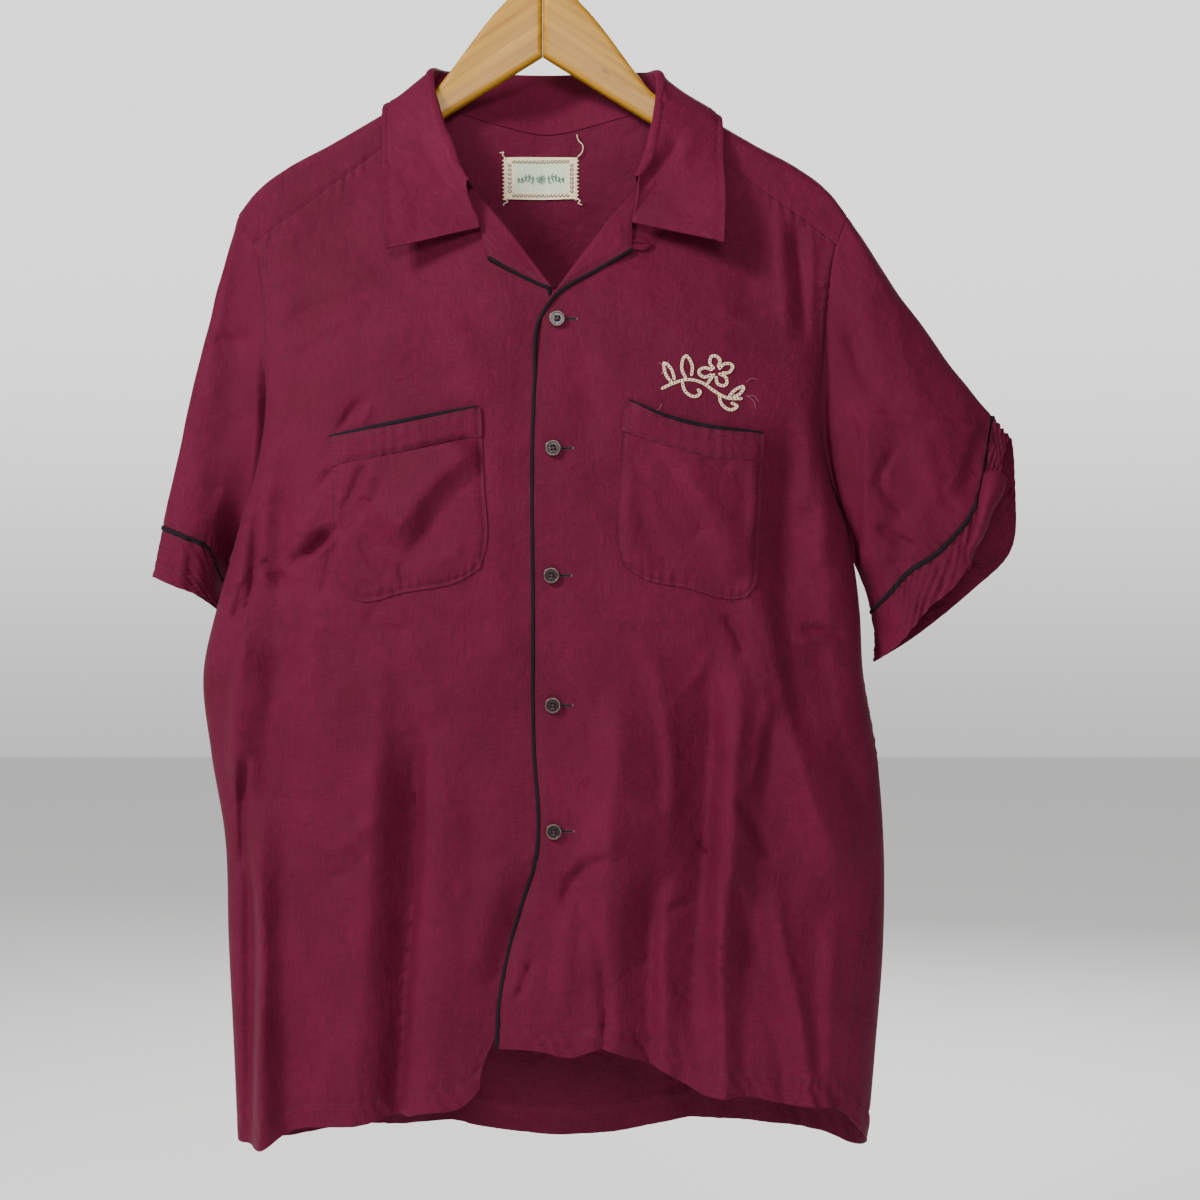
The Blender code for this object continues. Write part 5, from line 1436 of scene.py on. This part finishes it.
def stitchShape(chained):
    # a spindle for a plain stitch, or a small closed loop for a chain stitch, each with its length first
    select()
    if chained:
        bpy.ops.mesh.primitive_torus_add(major_segments=11, minor_segments=4, major_radius=1, minor_radius=0.40)
    else:
        bpy.ops.mesh.primitive_uv_sphere_add(segments=6, ring_count=5, radius=1)
    one = bpy.context.object
    places = np.array([v.co[:] for v in one.data.vertices])
    faces = [tuple(f.vertices) for f in one.data.polygons]
    bpy.data.objects.remove(one, do_unlink=True)
    return places if chained else places[:, [2, 0, 1]], faces


spindle, loop = stitchShape(False), stitchShape(True)


def stitches(name, shape, starts, ends, wide, high, material, slot="cloth", out=(0, -1, 0)):
    # copies of one stitch from each start to each end, in one piece
    places, faces = shape
    starts, ends = np.array(starts, float), np.array(ends, float)
    long = np.linalg.norm(ends - starts, axis=1)
    along = unit(ends - starts)
    side = unit(np.cross(along, np.broadcast_to(np.array(out, float), along.shape)))
    up = np.cross(side, along)
    spots = (((starts + ends) / 2)[:, None] + along[:, None] * (places[:, 0][None] * long[:, None] / 2)[..., None]
             + side[:, None] * (places[:, 1] * wide)[None, :, None]
             + up[:, None] * (places[:, 2] * high)[None, :, None])
    count = len(places)
    mesh = bpy.data.meshes.new(name)
    mesh.from_pydata(spots.reshape(-1, 3).tolist(), [],
                     [tuple(i + k * count for i in face) for k in range(len(starts)) for face in faces])
    piece = bpy.data.objects.new(name, mesh)
    bpy.context.collection.objects.link(piece)
    select(piece)
    editWhole(evenNormals)
    finishPiece(piece, name, material, angle=60)


def alongLine(points, pitch, long):
    # starts and ends of stitches at even steps along a line in space
    points = np.array(points, float)
    run = runAlong(points)
    first = np.arange(pitch / 2, run[-1] - long, pitch)
    return placesAt(first, run, points), placesAt(first + long, run, points)


def alongLines(lines, pitch, long):
    return [np.concatenate(ends) for ends in zip(*(alongLine(points, pitch, long) for points in lines))]


def sewLines(name, lines, out=(0, -1, 0)):
    stitches(name, spindle, *alongLines(lines, 0.0030, 0.0022), 0.00026, 0.00026, burgundyThread, out=out)


def rowAt(grid, distance, fromEnd=False):
    # the grid's row nearest a distance from its first or last row
    down = runsOf(grid)[0].mean(1)
    want = down[-1] - distance if fromEnd else distance
    return grid[int(np.argmin(np.abs(down - want)))]


def columnAt(grid, distance, fromEnd=False):
    across = runsOf(grid)[1]
    want = across[:, -1] - distance if fromEnd else np.full(len(grid), distance)
    return np.array([placesAt(at, run, row) for at, run, row in zip(want, across, grid)])


frontLines, collarLines, pocketLines, sleeveLines = [], [], [], []
for side in sides:
    grid = sewnFronts[side]
    armRows = grid[frontLayout["rowsBelow"]:-2]
    frontLines += [rowAt(grid, 0.0170), grid[-2], columnAt(armRows, 0.0022), columnAt(armRows, 0.0065)]
    grid = lapels[side][:, 8:]
    collarLines += [rowAt(grid, 0.0040, True)[3:], columnAt(grid, 0.0040, True)]
    grid, band = pocketGrids[side], pocketGrids[side + "Band"]
    pocketLines += [columnAt(grid, 0.0020)[:-2], columnAt(grid, 0.0020, True)[:-2], rowAt(grid, 0.0020, True)[2:-2],
                    rowAt(band, 0.0025), rowAt(band, 0.0016, True), columnAt(band, 0.0020),
                    columnAt(band, 0.0020, True)]
    sleeve, cuff = sleeves[side].values()
    sleeveLines += [rowAt(sleeve, 0.0022, True), rowAt(cuff, 0.0020), rowAt(cuff, 0.0120, True)]
sewLines("front_stitches", frontLines + [columnAt(sewnFronts["right"][2:-60], 0.0045, True)])
sewLines("back_stitches", [rowAt(back, 0.0200), back[-2], rowAt(yoke[0], 0.0020, True), columnAt(back[2:], 0.0030),
                           columnAt(back[2:], 0.0030, True)], out=(0, 1, 0))
fallEdge = rowAt(collar[collarRows["firstFall"]:], 0.0045, True)
sewLines("collar_stitches", [fallEdge[3:-3], columnAt(collar[34:], 0.0040), columnAt(collar[34:], 0.0040, True)]
         + collarLines)
sewLines("pocket_stitches", pocketLines)
sewLines("sleeve_stitches", sleeveLines)
print("seams stitched")


# button stitches and buttonholes

threads, holeStitches, slitShadows, bars = [], [], [], []
reach = button["spread"] * math.cos(math.pi / 4) * 1.15
for (x, z), seat in zip(button["places"], buttonSeats):
    y = seat[1] - button["thick"] / 2 + button["dish"] - 0.00035
    threads += [((x - reach, y, z + way * reach), (x + reach, y - 0.0002, z - way * reach)) for way in (-1, 1)]
    for hx in np.linspace(x + 0.0050, x + 0.0142, 17):
        y = float(frontY(hx, z)[0]) - 0.0002
        holeStitches += [((hx, y, z + way * 0.00025), (hx + 0.0002, y, z + way * 0.00125)) for way in (-1, 1)]
    # a dark cord along each buttonhole's cut, as painted shadow in the slit
    hx, hz = np.linspace(x + 0.0045, x + 0.0140, 12), np.full(12, z)
    slitShadows.append(np.stack([hx, frontY(hx, hz) - 0.00012, hz], -1))
    y = float(frontY(x + 0.0144, z)[0]) - 0.0003
    bars.append([(x + 0.0144, y, z - 0.0010), (x + 0.0144, y, z + 0.0010)])
stitches("button_threads", spindle, *zip(*threads), 0.00042, 0.00036, burgundyThread)
darkThread = threadMaterial("darkBurgundyThread", "#2b0713", 0.6, 0.1)
stitches("buttonhole_stitches", spindle, *zip(*holeStitches), 0.00028, 0.0003, darkThread)
# the buttonholes' slits are near-black cords: painted shadow in the cuts
tubePiece("buttonhole_slit_shadows", slitShadows, 0.00034, 0.00022, count=6)
stitches("buttonhole_bars", spindle, *zip(*bars), 0.00042, 0.0004, rosyThread)
print("buttons sewn on")


# chest embroidery: a plain sprig in chain stitch

sprig = {
    "middle": (0.1176, -0.3705), "tilt": -0.20, "pitch": 0.0026, "long": 0.0030, "wide": 0.00080, "high": 0.00070,
    "lines": [  # x and z of each point, in mm from the middle
        (-30, -13, -22, -7, -12, -2, -2, -2, 8, -6, 18, -9, 30, -7),
        (-22, -7, -28, -2, -31, 7, -25, 3, -21, -5),
        (-13, -2, -18, 5, -17, 15, -11, 9, -10, 0),
        (-16, -4, -12, -11, -4, -13, -1, -9, -5, -7),
        (2, -3, 4, 2, 6, 6),
        (6, 9, 1, 13, 2, 19, 8, 17, 7, 10),
        (8, 9, 12, 15, 18, 15, 16, 9, 9, 8),
        (8, 7, 15, 5, 16, 0, 10, -1, 7, 6),
        (5, 8, -2, 9, -6, 5, -1, 2, 5, 6),
        (19, -9, 22, -3, 29, 2, 27, -4, 21, -8),
        (12, -7, 15, -14, 23, -17, 27, -13, 22, -12),
    ],
    "looseEnds": [(-31, -13, -33, -17, -37, -18), (-31, 8, -30, 14, -33, 17), (-31, 8, -27, 13, -26, 18),
                  (31, -7, 35, -10, 37, -16), (30, 3, 34, 6, 38, 5), (30, -7, 36, -7, 39, -11)],
}
cos, sin = math.cos(sprig["tilt"]), math.sin(sprig["tilt"])
middle = np.array(sprig["middle"])
chains = []
for values in sprig["lines"]:
    x, z = (np.reshape(values, (-1, 2)) / 1000).T
    turned = np.stack([x * cos - z * sin, x * sin + z * cos], -1)
    chains.append(raised(smoothLine(turned + middle, 80), frontY, 0.0007))
stitches("chest_sprig_chain_stitch", loop, *alongLines(chains, sprig["pitch"], sprig["long"]), sprig["wide"],
         sprig["high"], creamThread)
hairs = [raised(smoothLine(np.reshape(values, (-1, 2)) / 1000 + middle + (0, -0.004), 16), frontY, 0.0008)
         for values in sprig["looseEnds"]]
tubePiece("chest_sprig_thread_ends", hairs, 0.00016, 0.00016, None, rosyThread, 6)
print("embroidery made")


# the label's border, sprig and sewing

middleX, middleZ = (left + right) / 2, (top + bottom) / 2


def onLabel(x, z, lift=0.0):
    y = float(backY(np.array([x]), np.array([z]))[0])
    return np.array([x, y - labelLift - 0.0007 * ease(min(x - left, right - x) / 0.006) - lift, z])


def bothWays(spot, *step):
    return spot - step, spot + step


rings, leaves, whips = [], [], []
for k in range(15):
    for way in (-1, 1):
        rings.append(bothWays(onLabel(middleX + (k - 7) * 0.0029, middleZ + way * 0.0122, 0.0001), 0, 0, 0.0011))
for k in range(7):
    for way in (-1, 1):
        rings.append(bothWays(onLabel(middleX + way * 0.0232, middleZ + (k - 3) * 0.0031, 0.0001), 0.0011, 0, 0))
stitches("label_border_loops", loop, *zip(*rings), 0.0010, 0.00034, brownThread, "label")
for way in (-1, 1):
    for k in range(5):
        root = onLabel(middleX + way * (0.0052 + k * 0.0026), middleZ + 0.0012 * math.sin(1.3 * k), 0.0003)
        leaves.append((root, root + (way * 0.0024, 0, 0.0002)))
        leaves += [(root, root + (way * 0.0020, 0, tilt * (0.0042 - k * 0.0005))) for tilt in (-1, 1)]
root = onLabel(middleX, middleZ, 0.0003)
for ring, count in ((0.0014, 6), (0.0031, 10)):
    for a in [2 * k * math.pi / count for k in range(count)]:
        leaves.append([root + (r * math.cos(a), 0, r * math.sin(a)) for r in (ring - 0.0011, ring + 0.0008)])
stitches("label_woven_sprig", spindle, *zip(*leaves), 0.00056, 0.00036, greenThread, "label")
for k in range(11):
    z = top - 0.0012 - k * 0.00276
    for x, way in ((left, -1), (right, 1)):
        inner = onLabel(x - way * 0.0022, z, 0.0003)
        outer = onLabel(x + way * 0.0014, z - 0.0012, -0.0004)
        whips += [(inner, outer), (outer, inner - (0, 0, 0.0022))]
stitches("label_whip_stitches", spindle, *zip(*whips), 0.00034, 0.0003, creamThread, "label")
tails = [
    line(258, -1962, 290, -1930, 296, -1880, 262, -1840, 252, -1800),
    line(-290, -1962, -305, -1950, -296, -1932, -325, -1936),
    line(-290, -2268, -268, -2285, -296, -2300, -302, -2312),
    line(256, -2268, 276, -2280, 262, -2296, 290, -2310),
]
tubePiece("label_thread_ends", [raised(smoothLine(tail, 22), backY, labelLift + 0.0012) for tail in tails],
          0.00036, 0.00034, None, creamThread, 7)
print("label sewn on")


# hanger: two flat beech arms mitred together, and a wire hook

hanger = {"thick": 0.0118, "round": 0.0042, "topZ": -0.064, "belowRidge": 0.0027, "apexZ": -0.1256,
          "slope": 0.62, "grain": 0.585, "wire": 0.0017, "hookInside": 0.020}


def woodMaterial(name, turn, knot):
    # lacquered beech or alder, planed along the arm: straight fine streaks and a soft gloss
    nodes = Nodes(name)
    along = nodes.stretch(nodes.add("TexCoord", out="Object"), Rotation=(0, turn, 0))
    # growth rings 2 to 5 mm apart, drawn out along the arm
    ring = nodes.streaks(along, 5.0, 160.0, 230.0, detail=3.0, Distortion=0.3)
    pore = nodes.streaks(along, 60.0, 900.0, 1500.0)
    color = nodes.ramp(ring, (0.28, "#83580d"), (0.48, "#966a13"), (0.72, "#a67b1d"))
    toned = nodes.scale(color, nodes.remap(pore, 0.3, 0.7, 0.90, 1.06))
    if knot:
        # a small dark knot with a flare along the grain
        spot = nodes.stretch(along, Location=knot, Scale=(150.0, 60.0, 480.0))
        far = nodes.add("VectorMath", {0: spot}, "Value", operation="LENGTH")
        wobble = nodes.math("MULTIPLY_ADD", pore, 0.9, far)
        toned = nodes.scale(toned, nodes.remap(wobble, 0.55, 1.25, 0.45, 1.0))
    return nodes.finish(Base_Color=toned, Normal=nodes.bump(pore, 0.12, 0.0003), Roughness=0.48,
                        Specular_IOR_Level=0.25, Coat_Weight=0.10, Coat_Roughness=0.30)


def armOutline():
    def over(x):
        return float(ridgeZ(x)) - hanger["belowRidge"]

    def under(x):
        return hanger["apexZ"] - hanger["slope"] * x

    neck = line(113, -655, 190, -740, 265, -840, 362, -945, 475, -1085, 600, -1255, 715, -1408, 820, -1530)
    upper = smoothLine([*neck, (0.1000, over(0.1000))], 60)
    arm = [(x, over(x)) for x in np.linspace(0.104, 0.188, 24)]
    tip = smoothLine([(0.2000, over(0.2000) - 0.003), (0.2035, over(0.204) - 0.008),
                      (0.2035, under(0.2035) + 0.006), (0.1965, under(0.1965))], 14)
    start = [(0.00012, hanger["topZ"]), (0.0080, hanger["topZ"])]
    return np.concatenate([start, upper, arm, tip, [(0.00012, under(0.00012))]])


outline = armOutline()
for side, sign in zip(sides, (-1, 1)):
    select()
    bpy.ops.mesh.primitive_circle_add(vertices=len(outline), radius=1, fill_type="NGON")
    arm = bpy.context.object
    corners = np.stack([sign * outline[:, 0], np.full(len(outline), -hanger["thick"] / 2), outline[:, 1]], -1)
    arm.data.vertices.foreach_set("co", corners.reshape(-1))
    editWhole(lambda: bpy.ops.mesh.extrude_region_move(TRANSFORM_OT_translate={"value": (0, hanger["thick"], 0)}),
              evenNormals)
    applied(arm, "BEVEL", width=hanger["round"], segments=5, limit_method="ANGLE", angle_limit=math.radians(60),
            use_clamp_overlap=True)
    knot = (-17.25, 0.36, 42.6) if side == "right" else None
    wood = woodMaterial("plainBeech" + side.capitalize(), sign * -hanger["grain"], knot)
    finishPiece(arm, "hanger_arm_%s_wood" % side, wood, "hanger_arm_" + side, 40)


def wireMaterial():
    # bright-drawn steel wire: fine scratches along it
    nodes = Nodes("drawnSteelWire")
    scratch = nodes.noise(nodes.add("TexCoord", out="Object"), 900.0, 2.0)
    return nodes.finish(Base_Color=nodes.ramp(scratch, (0.35, "#b9b9bc"), (0.65, "#d2d2d4")), Metallic=1.0,
                        Roughness=nodes.remap(scratch, 0.0, 1.0, 0.22, 0.38))


radius = hanger["hookInside"] + hanger["wire"]
angles = np.radians(np.arange(-50, 206, 5))
bend = np.stack([radius * np.cos(angles), radius * np.sin(angles) - hanger["hookInside"]], -1)
lower = smoothLine([*line(0, -700, 0, -600, 6, -525, 50, -455), bend[0]], 26)
x, z = np.concatenate([lower[:-1], bend]).T
tubePiece("hanger_hook_wire", [np.stack([x, np.zeros(len(x)), z], -1)], hanger["wire"], hanger["wire"],
          "hanger_hook", wireMaterial(), 20)
print("hanger made")
